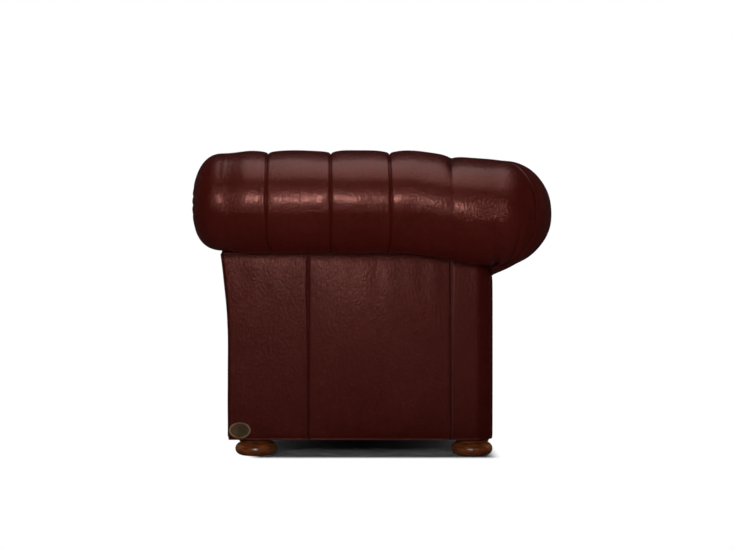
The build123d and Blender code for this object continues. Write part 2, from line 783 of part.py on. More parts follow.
def panel_pieces():
    """Boards, outer leather, front pieces, dust cloth and badge."""
    left = {
        "outer_side_boards": side_board(),
        "outer_side_leather": side_leather(),
        "arm_front_panel": front_panel(),
    }
    pieces = both_sides(left)
    pieces["outer_back_board"] = block(-post_inner, post_inner, frame_back,
                                       frame_back + backing_board, frame_bottom, back_board_top)
    edge_x = body_half_width - body_corner_radius - seam_gap / 2
    seams = [-edge_x, -back_seam, back_seam, edge_x]
    pieces["outer_back_leather"] = [
        block(a + (seam_gap / 2 if a > -edge_x else 0), b - (seam_gap / 2 if b < edge_x else 0),
              body_back - panel_leather, body_back, body_bottom, back_panel_top)
        for a, b in zip(seams, seams[1:])
    ]
    pieces["front_border"] = front_border()
    cloth = block(cloth_inset - frame_half_width, frame_half_width - cloth_inset,
                  frame_front + cloth_inset, frame_back - cloth_inset,
                  frame_bottom - dust_cloth, frame_bottom)
    rear = [e for e in cloth.edges().filter_by(Axis.Z) if e.center().Y > 0]
    cloth = fillet(rear, body_corner_radius)
    for x in (-foot_x, foot_x):
        for y in (foot_front_y, foot_rear_y):
            cloth -= upright(x, y, tee_nut_barrel + cloth_hole_margin, 0, far)
    pieces["dust_cloth"] = cloth
    oval = Plane(origin=(body_half_width, badge_y, badge_z), x_dir=(0, 1, 0), z_dir=(1, 0, 0))
    plate = extrude(oval * Ellipse(badge_half_length, badge_half_height), amount=badge_thickness)
    field = Ellipse(badge_half_length - badge_rim, badge_half_height - badge_rim)
    recess = extrude(oval.offset(badge_thickness - badge_recess) * field, amount=badge_thickness)
    pieces["oval_badge"] = plate - recess
    return pieces


# ---------------------------------------------------------------- seat cushion
def cushion_slab(inset, z0, z1):
    """A flat slab with the cushion's rounded outline, inset from its leather."""
    width = 2 * (cushion_half_width - inset)
    depth = cushion_back - cushion_front - 2 * inset
    middle = (cushion_front + cushion_back) / 2
    plan = Plane(origin=(0, middle, z0)) * RectangleRounded(width, depth, cushion_corner - inset)
    return extrude(plan, amount=z1 - z0)


def crowned(slab, top):
    """The part of a slab that lies under the cushion's crown, whose middle is at height top."""
    middle = (cushion_front + cushion_back) / 2
    for half, turn in ((cushion_half_width, Rot(90, 0, 0)),
                       ((cushion_back - cushion_front) / 2, Rot(0, 90, 0))):
        bend = (half**2 + cushion_crown**2) / (2 * cushion_crown) - (cushion_top - top)
        slab &= Pos(0, middle, top - bend) * turn * Cylinder(bend, 2 * far)
    return slab


def cushion_pieces():
    """The loose cushion's leather, foam and zip, and the zip's slider."""
    under = cushion_top - cushion_panel
    floor = cushion_bottom + cushion_panel
    whole = crowned(cushion_slab(0, floor, cushion_top + overcut), cushion_top)
    below_top = crowned(cushion_slab(0, floor, cushion_top), under)
    core = crowned(cushion_slab(cushion_wall, floor, cushion_top), under)
    groove_floor = cushion_back - zip_depth
    groove = block(-zip_length / 2, zip_length / 2, groove_floor, cushion_back + overcut,
                   zip_z - zip_height / 2, zip_z + zip_height / 2)
    chain = block(-zip_length / 2, zip_length / 2, groove_floor, groove_floor + zip_chain_thickness,
                  zip_z - zip_chain_height / 2, zip_z + zip_chain_height / 2)
    rest_x = zip_length / 2 - slider_length
    inner = groove_floor + zip_chain_thickness + zip_running_gap
    outer = inner + slider_thickness
    slider = block(rest_x - slider_length / 2, rest_x + slider_length / 2, inner, outer,
                   zip_z - slider_height / 2, zip_z + slider_height / 2)
    slider = fillet(slider.edges().filter_by(Axis.Y), slider_corner)
    pull = block(rest_x - pull_width / 2, rest_x + pull_width / 2, outer, outer + pull_thickness,
                 zip_z - pull_drop, zip_z + pull_rise)
    pull = fillet(pull.edges().filter_by(Axis.Y), pull_corner)
    pull -= (Pos(rest_x, outer + pull_thickness / 2, zip_z - pull_hole_drop) * Rot(90, 0, 0)
             * Cylinder(pull_hole_radius, 2 * pull_thickness))
    return {
        "cushion_core": core,
        "cushion_boxing": below_top - core - groove,
        "cushion_top_panel": whole - below_top,
        "cushion_bottom_panel": cushion_slab(0, cushion_bottom, floor),
        "cushion_zip": chain,
        "zip_slider": slider + pull,
    }


# ---------------------------------------------------------------- feet
def bun_foot(x, y):
    """A turned bun foot with a collar, bored for its hanger bolt."""
    top = frame_bottom - dust_cloth
    waist_radius = foot_collar_radius - foot_waist_depth
    bun_mid = (glide_height + foot_waist) / 2
    collar_mid = (foot_waist + top) / 2
    collar_top = foot_collar_radius - foot_collar_rounding
    outline = [
        Line((0, glide_height), (foot_base_radius, glide_height)),
        ThreePointArc((foot_base_radius, glide_height),
                      (foot_radius, bun_mid),
                      (waist_radius, foot_waist)),
        ThreePointArc((waist_radius, foot_waist), (foot_collar_radius, collar_mid),
                      (collar_top, top)),
        Line((collar_top, top), (0, top)),
        Line((0, top), (0, glide_height)),
    ]
    bun = revolve(Plane.XZ * make_face(outline), axis=Axis.Z)
    bore = upright(0, 0, bolt_radius + bolt_clearance, bolt_bottom - bolt_end_gap, far)
    return Pos(x, y, 0) * (bun - bore)


def foot_pieces():
    """Four feet with their glides, hanger bolts and tee nuts."""
    pieces = {}
    places = {
        "foot_front_left": (foot_x, foot_front_y),
        "foot_front_right": (-foot_x, foot_front_y),
        "foot_rear_left": (foot_x, foot_rear_y),
        "foot_rear_right": (-foot_x, foot_rear_y),
    }
    glides, bolts, nuts = [], [], []
    nut_top = frame_bottom + block_height
    for name, (x, y) in places.items():
        pieces[name] = bun_foot(x, y)
        glides.append(upright(x, y, glide_radius, 0, glide_height))
        bolts.append(upright(x, y, bolt_radius, bolt_bottom, nut_top - bolt_top_drop))
        barrel = upright(x, y, tee_nut_barrel, nut_top - tee_nut_length, nut_top)
        flange = upright(x, y, tee_nut_flange, nut_top, nut_top + tee_nut_flange_thickness)
        bore = upright(x, y, bolt_radius + bolt_clearance, 0, far)
        nuts.append(barrel + flange - bore)
    pieces["foot_glides"] = glides
    pieces["hanger_bolts"] = bolts
    pieces["tee_nuts"] = nuts
    return pieces


# ---------------------------------------------------------------- upholstery
def upholstery_pieces(frame):
    """Foam pads, leather covers, buttons and rosettes of both arms and the back."""
    timber_left = [frame["front_arm_former_left"], frame["back_top_rail"]]
    timber_left += [frame[n][0] for n in ("mid_arm_formers", "rear_posts", "arm_top_rails")]
    arm_places, back_places = arm_button_places(), back_button_places()
    arm_outer = arm_volume(0.0)
    arm_inner = arm_volume(cover)
    bay = block(arm_slab_back, frame_half_width, frame_front, back_roll_y, 0, top_rail_bottom)
    arm_cover = (arm_outer - dimples(arm_places, 0.0)) - (arm_inner - dimples(arm_places, cover))
    arm_cover = arm_cover - bay - frame["rear_posts"][0]
    arm_pad = arm_inner - dimples(arm_places, cover) - timber_left

    both_arms = [arm_outer, across_x(arm_outer)]
    back_outer = back_volume(0.0, both_arms)
    back_inner = back_volume(cover, both_arms)
    timber_back = [frame["back_top_rail"], *frame["rear_posts"], *frame["arm_top_rails"],
                   *frame["back_formers"]]
    back_bay = block(-body_half_width, body_half_width, back_slab_back, body_back,
                     0, top_rail_bottom)
    back_cover = (back_outer - dimples(back_places, 0.0)) - (back_inner - dimples(back_places, cover))
    back_cover = back_cover - back_bay
    back_pad = back_inner - dimples(back_places, cover) - timber_back

    arm_buttons = buttons(arm_places)
    rosette = (
        Plane(origin=(roll_x, roll_front + rosette_dimple, arm_roll_z), z_dir=(0, -1, 0))
        * covered_button(rosette_radius, rosette_height)
    )
    return {
        "arm_pad_left": arm_pad,
        "arm_pad_right": across_x(arm_pad),
        "arm_cover_left": arm_cover,
        "arm_cover_right": across_x(arm_cover),
        "back_pad": back_pad,
        "back_cover": back_cover,
        "arm_buttons": arm_buttons + [across_x(b) for b in arm_buttons],
        "back_buttons": buttons(back_places),
        "rosettes": [rosette, across_x(rosette)],
    }


def main():
    """Builds every piece and writes one STEP file for each node."""
    os.makedirs("parts", exist_ok=True)
    pieces = frame_pieces()
    pieces.update(upholstery_pieces(pieces))
    pieces.update(suspension_pieces())
    pieces.update(panel_pieces())
    pieces.update(cushion_pieces())
    pieces.update(foot_pieces())
    for name, piece in pieces.items():
        shape = Compound(children=[s for p in piece for s in p.solids()]) if isinstance(piece, list) \
            else piece
        export_step(shape, f"parts/{name}.step")


main()
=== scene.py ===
"""Dresses a low-back scroll-arm club armchair: buttoned leather, piping, stitches and turned feet.

The chair's frame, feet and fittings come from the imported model. The upholstery is worked out here
as surfaces of two parameters. Everything is in metres, +Z up, with the sitter facing -Y.
"""

import logging
from dataclasses import dataclass, field
from enum import Enum
from typing import Callable, Mapping, Sequence

import bpy
import numpy as np
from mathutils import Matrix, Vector


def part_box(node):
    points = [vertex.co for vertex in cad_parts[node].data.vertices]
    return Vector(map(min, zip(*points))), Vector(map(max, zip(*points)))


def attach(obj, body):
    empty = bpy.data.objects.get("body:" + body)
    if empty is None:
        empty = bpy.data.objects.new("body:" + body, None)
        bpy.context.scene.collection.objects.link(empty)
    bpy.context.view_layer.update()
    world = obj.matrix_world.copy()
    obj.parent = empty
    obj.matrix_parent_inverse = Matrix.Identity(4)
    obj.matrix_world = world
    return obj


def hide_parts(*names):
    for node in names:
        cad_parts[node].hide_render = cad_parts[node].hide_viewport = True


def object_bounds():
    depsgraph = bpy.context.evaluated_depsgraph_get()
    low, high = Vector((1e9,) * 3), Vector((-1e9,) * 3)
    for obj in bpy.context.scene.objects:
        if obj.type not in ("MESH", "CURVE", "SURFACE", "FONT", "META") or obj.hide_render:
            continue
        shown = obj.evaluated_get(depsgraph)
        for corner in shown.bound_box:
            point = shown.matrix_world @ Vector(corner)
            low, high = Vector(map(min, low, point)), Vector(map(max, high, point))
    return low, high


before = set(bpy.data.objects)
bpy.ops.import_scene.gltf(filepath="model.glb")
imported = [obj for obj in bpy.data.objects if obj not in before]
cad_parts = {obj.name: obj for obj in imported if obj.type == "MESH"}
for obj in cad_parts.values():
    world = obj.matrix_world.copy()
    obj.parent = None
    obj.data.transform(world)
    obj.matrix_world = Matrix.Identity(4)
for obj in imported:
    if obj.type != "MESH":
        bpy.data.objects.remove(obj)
CAD_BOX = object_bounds()

LOG = logging.getLogger("armchair")
CHAIR, CUSHION = "chair", "seat_cushion"
Colour = tuple[float, float, float]
Points = np.ndarray
BLACK, WHITE = (0.0, 0.0, 0.0), (1.0, 1.0, 1.0)
SIDES = {"left": np.array([1.0, 1.0, 1.0]), "right": np.array([-1.0, 1.0, 1.0])}
FOLD_SHADE = 0.012  # the depth at which a fold has its full shade
STITCH_LIFT = 0.0003  # how far stitches stand off the leather
FRONT_GAP = 0.0005  # what the leather keeps clear of the front formers
LINE_ROUND = 0.0005  # how far a crisp line is rounded at its bottom
TINY = 1e-6


# ---------------------------------------------------------------- numbers that shape soft goods
def ease(t: Points) -> Points:
    """A smooth step: 0 below 0, 1 above 1, and 3t^2 - 2t^3 between."""
    t = np.clip(t, 0.0, 1.0)
    return t * t * (3.0 - 2.0 * t)


def between(a: float, b: float, t: Points) -> Points:
    """The value a share t of the way from a to b."""
    return a + (b - a) * t


def valley(distance: Points, depth: Points | float, reach: float,
           soft: float = 0.0015) -> Points:
    """The depth of a pulled line: depth * exp(-d / reach), rounded over soft metres at d = 0."""
    rounded = np.sqrt(distance**2 + soft**2) - soft
    return depth * np.exp(-rounded / reach)


def deepest(depths: Sequence[Points], sharpness: float = 5.0) -> Points:
    """A smooth maximum of several depths: the p-norm, (sum of d^p)^(1/p)."""
    stack = np.maximum(np.stack(depths), 0.0)
    return (stack**sharpness).sum(axis=0) ** (1.0 / sharpness)


def ripple(u: Points, v: Points, seed: int, waves: int = 5, pitch: float = 0.05) -> Points:
    """A soft, repeatable unevenness from -1 to 1: a mean of sines in random directions.

    Args:
        u: first coordinate of each place.
        v: second coordinate.
        seed: fixes the random draws.
        waves: how many sines are drawn.
        pitch: their wavelength, drawn from 0.7 to 1.8 times this.

    Returns:
        The unevenness at each place.
    """
    rng = np.random.default_rng(seed)
    total = np.zeros(np.broadcast(u, v).shape)
    for _ in range(waves):
        angle, phase = rng.uniform(0, 2 * np.pi, 2)
        length = pitch * rng.uniform(0.7, 1.8)
        total = total + np.sin(2 * np.pi * (u * np.cos(angle) + v * np.sin(angle)) / length + phase)
    return total / waves


def spaced(start: float, end: float, marks: Sequence[float], count: int, reach: float = 0.009,
           extra: float = 3.5) -> Points:
    """Places from start to end that stand closer within reach of each mark.

    Their density is 1 plus, for each mark, extra * exp(-(distance / reach)^2).

    Args:
        start: the first place.
        end: the last place.
        marks: the places that need more detail.
        count: how many places there are.
        reach: how far a mark acts.
        extra: how much a mark adds to the density.

    Returns:
        The places in order.
    """
    fine = np.linspace(start, end, 2000)
    apart = (fine[:, None] - np.array(marks)[None]) / reach
    density = 1.0 + extra * np.exp(-apart**2).sum(axis=1)
    total = np.cumsum(density)
    return np.interp(np.linspace(total[0], total[-1], count), total, fine)


def to_segment(u: Points, v: Points, start: Sequence[float],
               end: Sequence[float]) -> tuple[Points, Points]:
    """Distances from a straight segment, and the share of the segment beside each place.

    Args:
        u: first coordinate of each place.
        v: second coordinate.
        start: where the segment starts.
        end: where it ends.

    Returns:
        The distances, and shares from 0 at the start to 1 at the end.
    """
    along = np.array([end[0] - start[0], end[1] - start[1]])
    length2 = float(along @ along)
    share = np.clip(((u - start[0]) * along[0] + (v - start[1]) * along[1]) / length2, 0.0, 1.0)
    distance = np.hypot(u - start[0] - share * along[0], v - start[1] - share * along[1])
    return distance, share


def puffed(station: Points, girth: Points, seed: int) -> Points:
    """The rolls' own unevenness: a ripple of 1.6 mm."""
    return 0.0016 * ripple(station, girth, seed, waves=5, pitch=0.09)


def grid_normals(points: Points, closed: bool) -> Points:
    """Unit normals of a grid of points: the cross product of its two central differences.

    Args:
        points: a rows by columns by 3 grid.
        closed: whether the last column meets the first.

    Returns:
        A grid of unit vectors.
    """
    down = np.gradient(points, axis=0)
    if closed:
        across = (np.roll(points, -1, axis=1) - np.roll(points, 1, axis=1)) / 2
    else:
        across = np.gradient(points, axis=1)
    normal = np.cross(down, across)
    return normal / np.maximum(np.linalg.norm(normal, axis=2, keepdims=True), 1e-12)


def outward_normals(base: Points, roll: slice) -> Points:
    """Unit normals of closed rings, turned to point away from the rings' middles on the roll.

    Args:
        base: rings by points by 3.
        roll: the columns that lie on the roll.

    Returns:
        A unit vector for each point.
    """
    normal = grid_normals(base, True)
    away = base - base.mean(axis=1, keepdims=True)
    return normal * np.sign(np.einsum("ijk,ijk->ij", normal[:, roll], away[:, roll]).sum())


def joined(*parts: tuple[Points, Points, Points]) -> tuple[Points, Points, Points]:
    """The parts of a section as one: each part is its offsets, heights and girths."""
    return tuple(np.concatenate([part[k] for part in parts], axis=1) for k in range(3))


# ---------------------------------------------------------------- meshes
def quads(rows: int, columns: int, closed: bool) -> Points:
    """Corner numbers of a grid's quads, row by row.

    Args:
        rows: the grid's rows.
        columns: its columns.
        closed: whether quads also join the last column to the first.

    Returns:
        An n by 4 array.
    """
    across = np.arange(columns if closed else columns - 1)
    row, column = np.meshgrid(np.arange(rows - 1), across, indexing="ij")
    here, below, beside = row * columns, (row + 1) * columns, (column + 1) % columns
    corners = [here + column, here + beside, below + beside, below + column]
    return np.stack(corners, axis=-1).reshape(-1, 4)


def fan(hub: int, rim: Points, forward: bool) -> Points:
    """Triangles from one hub vertex to a closed rim of vertices.

    Args:
        hub: the hub's number.
        rim: the rim's numbers in order.
        forward: whether the triangles turn against the rim's order.

    Returns:
        An n by 3 array.
    """
    beside = np.roll(rim, -1)
    hubs = np.full_like(rim, hub)
    return np.stack([hubs, beside, rim] if forward else [hubs, rim, beside], axis=-1)


def volume_of(points: Points, faces: Sequence[Points]) -> float:
    """Six times the signed volume inside the faces: the sum of a . (b x c) over their triangles.

    Args:
        points: an n by 3 array of places.
        faces: arrays of corner numbers.

    Returns:
        The sum, which is below zero if the faces point inwards.
    """
    total = 0.0
    for group in faces:
        for k in range(1, group.shape[1] - 1):
            a, b, c = points[group[:, 0]], points[group[:, k]], points[group[:, k + 1]]
            total += float(np.einsum("ij,ij->", a, np.cross(b, c)))
    return total


def mark_points(mesh: bpy.types.Mesh, name: str, values: Points) -> None:
    """Stores one number for each point of a mesh, for its material to read."""
    layer = mesh.attributes.new(name, "FLOAT", "POINT")
    layer.data.foreach_set("value", np.ascontiguousarray(values, dtype=np.float32).ravel())


def place_points(mesh: bpy.types.Mesh, points: Points) -> None:
    """Puts a mesh's points in their places."""
    mesh.vertices.foreach_set("co", np.ascontiguousarray(points, dtype=np.float32).ravel())


def places_of(mesh: bpy.types.Mesh) -> Points:
    """The places of a mesh's points, as an n by 3 array."""
    flat = np.empty(len(mesh.vertices) * 3, dtype=np.float32)
    mesh.vertices.foreach_get("co", flat)
    return flat.reshape(-1, 3).astype(float)


def report(piece: bpy.types.Object) -> None:
    """Logs a finished piece and its size."""
    LOG.info("%s: %d points", piece.name, len(piece.data.vertices))


def make_piece(name: str, points: Points, faces: Sequence[Points], finish: bpy.types.Material,
               body: str = CHAIR, marks: Mapping[str, Points] | None = None) -> bpy.types.Object:
    """Makes a closed, smooth mesh object that rides on a body.

    Args:
        name: the piece's name.
        points: an n by 3 array of places.
        faces: arrays of corner numbers, one array for each number of corners.
        finish: its material.
        body: the CAD body that it rides on.
        marks: named numbers, one for each point, that the material reads.

    Returns:
        The new object.
    """
    if volume_of(points, faces) < 0:
        faces = [group[:, ::-1] for group in faces]
    mesh = bpy.data.meshes.new(name)
    loops = np.concatenate([group.reshape(-1) for group in faces])
    sizes = np.concatenate([np.full(len(group), group.shape[1]) for group in faces])
    starts = np.concatenate([[0], np.cumsum(sizes)[:-1]])
    mesh.vertices.add(len(points))
    place_points(mesh, points)
    mesh.loops.add(len(loops))
    mesh.loops.foreach_set("vertex_index", loops.astype(np.int32))
    mesh.polygons.add(len(sizes))
    mesh.polygons.foreach_set("loop_start", starts.astype(np.int32))
    mesh.polygons.foreach_set("loop_total", sizes.astype(np.int32))
    mesh.update(calc_edges=True)
    mesh.validate()
    mesh.shade_smooth()
    for mark, values in (marks or {}).items():
        mark_points(mesh, mark, values)
    mesh.materials.append(finish)
    piece = bpy.data.objects.new(name, mesh)
    bpy.context.scene.collection.objects.link(piece)
    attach(piece, body)
    return piece


def loft_piece(name: str, rings: Points, finish: bpy.types.Material, hollow: Points | None = None,
               body: str = CHAIR) -> bpy.types.Object:
    """Makes a closed piece from closed rings of points, with a fan over each end ring.

    Args:
        name: the piece's name.
        rings: a rings by points by 3 array.
        finish: its material.
        hollow: the painted shade of each point, from 0 to 1, for the material.
        body: the CAD body that it rides on.

    Returns:
        The new object.
    """
    rows, columns = rings.shape[:2]
    first, last = rings[0].mean(axis=0), rings[-1].mean(axis=0)
    points = np.concatenate([rings.reshape(-1, 3), [first, last]])
    count = rows * columns
    ends = np.concatenate([fan(count, np.arange(columns), False),
                           fan(count + 1, np.arange(columns) + count - columns, True)])
    marks = None
    if hollow is not None:
        marks = {"hollow": np.concatenate([hollow.ravel(), [hollow[0].mean(), hollow[-1].mean()]])}
    return make_piece(name, points, [quads(rows, columns, True), ends], finish, body, marks)


def skin_piece(name: str, outer: Points, inward: Points, finish: bpy.types.Material,
               hollow: Points | None = None) -> bpy.types.Object:
    """Makes a closed shell from an outer grid and the offset from it to the inner grid.

    Args:
        name: the piece's name.
        outer: a rows by columns by 3 grid.
        inward: the offset from each outer point to its inner point, or one offset for all.
        finish: its material.
        hollow: the painted shade of each outer point, from 0 to 1, for the material.

    Returns:
        The new object, which rides on the chair.
    """
    inner = outer + inward
    columns = outer.shape[1]
    ring = np.concatenate([outer, inner[:, ::-1]], axis=1)
    rows, width = ring.shape[:2]
    index = np.arange(rows * width).reshape(rows, width)
    front, back = index[:, :columns], index[:, columns:][:, ::-1]
    faces = [quads(rows, width, True)]
    for row, flip in ((0, True), (rows - 1, False)):
        a, b = front[row], back[row]
        strip = np.stack([a[:-1], a[1:], b[1:], b[:-1]], axis=-1)
        faces.append(strip if flip else strip[:, ::-1])
    marks = None
    if hollow is not None:
        marks = {"hollow": np.concatenate([hollow, hollow[:, ::-1]], axis=1)}
    return make_piece(name, ring.reshape(-1, 3), faces, finish, CHAIR, marks)


def tube_piece(name: str, path: Points, radius: float, finish: bpy.types.Material,
               closed: bool = False, body: str = CHAIR, sides: int = 10) -> bpy.types.Object:
    """Makes a round bar along a path: a circle square to the path at each of its points.

    Each circle's first point is the one before it, turned back square to the path, so that the bar
    doesn't twist.

    Args:
        name: the piece's name.
        path: an n by 3 array.
        radius: the bar's radius.
        finish: its material.
        closed: whether the path's end meets its start.
        body: the CAD body that it rides on.
        sides: how many points its circle has.

    Returns:
        The new object.
    """
    if closed:
        along = np.roll(path, -1, axis=0) - np.roll(path, 1, axis=0)
    else:
        along = np.gradient(path, axis=0)
    along /= np.linalg.norm(along, axis=1, keepdims=True)
    aside = np.empty_like(along)
    aside[0] = np.cross(along[0], [0.31, 0.23, 0.92])
    for k in range(len(path)):
        previous = aside[max(k - 1, 0)]
        straight = previous - along[k] * (previous @ along[k])
        aside[k] = straight / np.linalg.norm(straight)
    upward = np.cross(along, aside)
    angle = np.linspace(0, 2 * np.pi, sides, endpoint=False)[None, :, None]
    round_path = np.cos(angle) * aside[:, None] + np.sin(angle) * upward[:, None]
    rings = path[:, None] + radius * round_path
    if not closed:
        return loft_piece(name, rings, finish, None, body)
    index = np.arange(len(path) * sides).reshape(-1, sides)
    turn = int(np.argmin(np.linalg.norm(rings[0] - rings[-1][0], axis=1)))
    last, first = index[-1], np.roll(index[0], -turn)
    joint = np.stack([last, np.roll(last, -1), np.roll(first, -1), first], axis=-1)
    faces = [quads(len(path), sides, True), joint]
    return make_piece(name, rings.reshape(-1, 3), faces, finish, body)


def copies(points: Points, faces: Points, turns: Points, places: Points) -> tuple[Points, Points]:
    """Many turned copies of one small mesh as one mesh.

    Args:
        points: the small mesh's points.
        faces: its corner numbers.
        turns: a 3 by 3 matrix for each copy, whose columns are the copy's axes.
        places: where each copy's origin goes.

    Returns:
        All the points and all the corner numbers.
    """
    moved = np.einsum("kab,nb->kna", turns, points) + places[:, None]
    shifted = faces[None] + (np.arange(len(places)) * len(points))[:, None, None]
    return moved.reshape(-1, 3), shifted.reshape(-1, faces.shape[1])


# ---------------------------------------------------------------- shader arithmetic
def operator(operation: str, reflected: bool = False) -> Callable[["Signal", object], "Signal"]:
    """Makes a Signal's method for one operator.

    Args:
        operation: the Math node's operation.
        reflected: whether the method is for a signal on the operator's right.

    Returns:
        The method.
    """

    def method(self: "Signal", other: object) -> "Signal":
        """Adds a Math node of self and other, or of other and self."""
        values = {0: other, 1: self} if reflected else {0: self, 1: other}
        return self.graph.node("ShaderNodeMath", {"operation": operation}, values)

    return method


class Signal:
    """A shader socket that takes part in arithmetic; each operation adds its Math node."""

    def __init__(self, graph: "Graph", socket: bpy.types.NodeSocket) -> None:
        """Wraps one output socket of a graph."""
        self.graph = graph
        self.socket = socket

    __add__, __radd__ = operator("ADD"), operator("ADD", reflected=True)
    __sub__, __rsub__ = operator("SUBTRACT"), operator("SUBTRACT", reflected=True)
    __mul__, __rmul__ = operator("MULTIPLY"), operator("MULTIPLY", reflected=True)

    def clamped(self) -> "Signal":
        """self held between 0 and 1."""
        return self.graph.node("ShaderNodeClamp", {}, {0: self})

    def ramp(self, low: float, high: float) -> "Signal":
        """0 where self is below low, 1 where it is above high, smooth between."""
        return self.graph.node("ShaderNodeMapRange", {"interpolation_type": "SMOOTHSTEP"},
                               {"Value": self, "From Min": low, "From Max": high})


class Graph:
    """A material's node tree with one way to add a node."""

    def __init__(self, name: str) -> None:
        """Starts a material with its output node and a Principled shader."""
        self.material = bpy.data.materials.new(name)
        self.material.use_nodes = True
        self.tree = self.material.node_tree
        self.tree.nodes.clear()
        self.shader = self.tree.nodes.new("ShaderNodeBsdfPrincipled")
        output = self.tree.nodes.new("ShaderNodeOutputMaterial")
        self.tree.links.new(self.shader.outputs[0], output.inputs[0])

    def _feed(self, socket: bpy.types.NodeSocket, value: object) -> None:
        """Links a signal to a socket, or sets the socket's own value.

        Args:
            socket: the socket to feed.
            value: a signal, a number, a vector or a colour of three parts.
        """
        if isinstance(value, Signal):
            self.tree.links.new(value.socket, socket)
        elif isinstance(value, tuple) and len(value) == 3 and socket.type == "RGBA":
            socket.default_value = (*value, 1.0)
        else:
            socket.default_value = value

    def node(self, kind: str, settings: Mapping[str, object], inputs: Mapping[object, object],
             output: int | str = 0) -> Signal:
        """Adds a node, sets it, feeds it and returns one of its outputs.

        Args:
            kind: the node's type.
            settings: its properties.
            inputs: numbers, colours or signals by socket name or number.
            output: the socket to return.

        Returns:
            The output as a signal.
        """
        made = self.tree.nodes.new(kind)
        for key, value in settings.items():
            setattr(made, key, value)
        for key, value in inputs.items():
            self._feed(made.inputs[key], value)
        return Signal(self, made.outputs[output])

    def place(self) -> Signal:
        """Object coordinates."""
        return self.node("ShaderNodeTexCoord", {}, {}, "Object")

    def vector(self, operation: str, a: object, b: object) -> Signal:
        """A Vector Math node of two vectors."""
        return self.node("ShaderNodeVectorMath", {"operation": operation}, {0: a, 1: b})

    def length(self, vector: Signal) -> Signal:
        """The length of a vector."""
        return self.node("ShaderNodeVectorMath", {"operation": "LENGTH"}, {0: vector}, "Value")

    def mark(self, name: str) -> Signal:
        """A number stored on the piece's points."""
        return self.node("ShaderNodeAttribute", {"attribute_name": name}, {}, "Fac")

    def noise(self, scale: float, detail: float, roughness: float,
              at: Signal | None = None) -> Signal:
        """Noise about 0.5, with scale in turns to the metre."""
        inputs = {"Vector": at or self.place(), "Scale": scale, "Detail": detail}
        return self.node("ShaderNodeTexNoise", {}, inputs | {"Roughness": roughness})

    def cells(self, scale: float) -> Signal:
        """Voronoi cells, by distance to their edge."""
        return self.node("ShaderNodeTexVoronoi", {"feature": "DISTANCE_TO_EDGE"},
                         {"Vector": self.place(), "Scale": scale})

    def waves(self, axis: str, scale: float, at: Signal) -> Signal:
        """Bands across an axis, from 0 to 1."""
        return self.node("ShaderNodeTexWave", {"wave_type": "BANDS", "bands_direction": axis},
                         {"Vector": at, "Scale": scale}, 1)

    def stretched(self, factors: Colour, turn: Colour = (0.0, 0.0, 0.0)) -> Signal:
        """Object coordinates multiplied along each axis, for a grain or weave with a direction."""
        inputs = {"Vector": self.place(), "Scale": factors, "Rotation": turn}
        return self.node("ShaderNodeMapping", {}, inputs)

    def mix(self, share: object, a: object, b: object) -> Signal:
        """A colour a share of the way from a to b."""
        inputs = {"Factor": share, 6: a, 7: b}
        return self.node("ShaderNodeMix", {"data_type": "RGBA"}, inputs, 2)

    def bump(self, height: Signal, distance: float, strength: float = 1.0,
             under: Signal | None = None) -> Signal:
        """A Bump node over an optional one below it."""
        inputs = {"Height": height, "Distance": distance, "Strength": strength}
        if under is not None:
            inputs["Normal"] = under
        return self.node("ShaderNodeBump", {}, inputs)

    def finish(self, **sockets: object) -> bpy.types.Material:
        """Feeds the Principled shader's sockets, named with _ for a space; returns the material."""
        for key, value in sockets.items():
            self._feed(self.shader.inputs[key.replace("_", " ")], value)
        return self.material


# ---------------------------------------------------------------- finishes
@dataclass(frozen=True)
class Leather:
    """Pigmented leather with a pebble grain, painted shade in its folds and lighter rubbed patches.
    """

    name: str
    hide: Colour = (0.058, 0.0064, 0.0046)
    # fold is the painted shade colour, mixed in by the hollow mark; a little of it also darkens
    # random mottled patches.
    fold: Colour = (0.024, 0.0032, 0.0024)
    rubbed: Colour = (0.072, 0.0088, 0.0064)
    sheen: Colour = (1.0, 0.41, 0.34)
    gloss: float = 0.18
    pebble: float = 480.0
    pebble_depth: float = 0.00010
    streak_depth: float = 0.00075
    specular: float = 0.55
    has_marks: bool = True

    def build(self) -> bpy.types.Material:
        """Returns the material."""
        graph = Graph(self.name)
        cloudy = graph.noise(6.0, detail=4.0, roughness=0.6)
        mottle = graph.noise(45.0, detail=4.0, roughness=0.65)
        grain = graph.cells(self.pebble)
        fine = graph.noise(900.0, detail=2.0, roughness=0.6)
        creases = graph.noise(70.0, detail=4.0, roughness=0.65)
        streaks = graph.noise(165.0, detail=1.5, roughness=0.5,
                              at=graph.stretched((1.0, 1.0, 0.75)))
        worn = (cloudy * 0.6 + mottle * 0.4).ramp(0.42, 0.68)
        colour = graph.mix(worn * 0.6, self.hide, self.rubbed)
        colour = graph.mix((1.0 - mottle.ramp(0.30, 0.55)) * 0.10, colour, self.fold)
        rough = self.gloss + (mottle - 0.5) * 0.12 + (streaks - 0.5) * 0.12
        if self.has_marks:
            # painted shade: where the hollow mark is high, in folds, seams, edges and under the
            # roll, the colour goes towards fold.
            depth = graph.mark("hollow")
            colour = graph.mix(depth.ramp(0.12, 0.85) * 0.92, colour, self.fold)
            rough = rough + depth.ramp(0.3, 1.0) * 0.14
        pits = 1.0 - grain.ramp(0.0, 0.16)
        under = graph.bump(creases * 0.3 + streaks * 0.7, self.streak_depth)
        normal = graph.bump(pits * -1.0 + fine * 0.35, self.pebble_depth, 0.8, under)
        return graph.finish(Base_Color=colour, Roughness=rough.clamped(), Normal=normal,
                            Specular_IOR_Level=self.specular, Specular_Tint=(*self.sheen, 1.0))


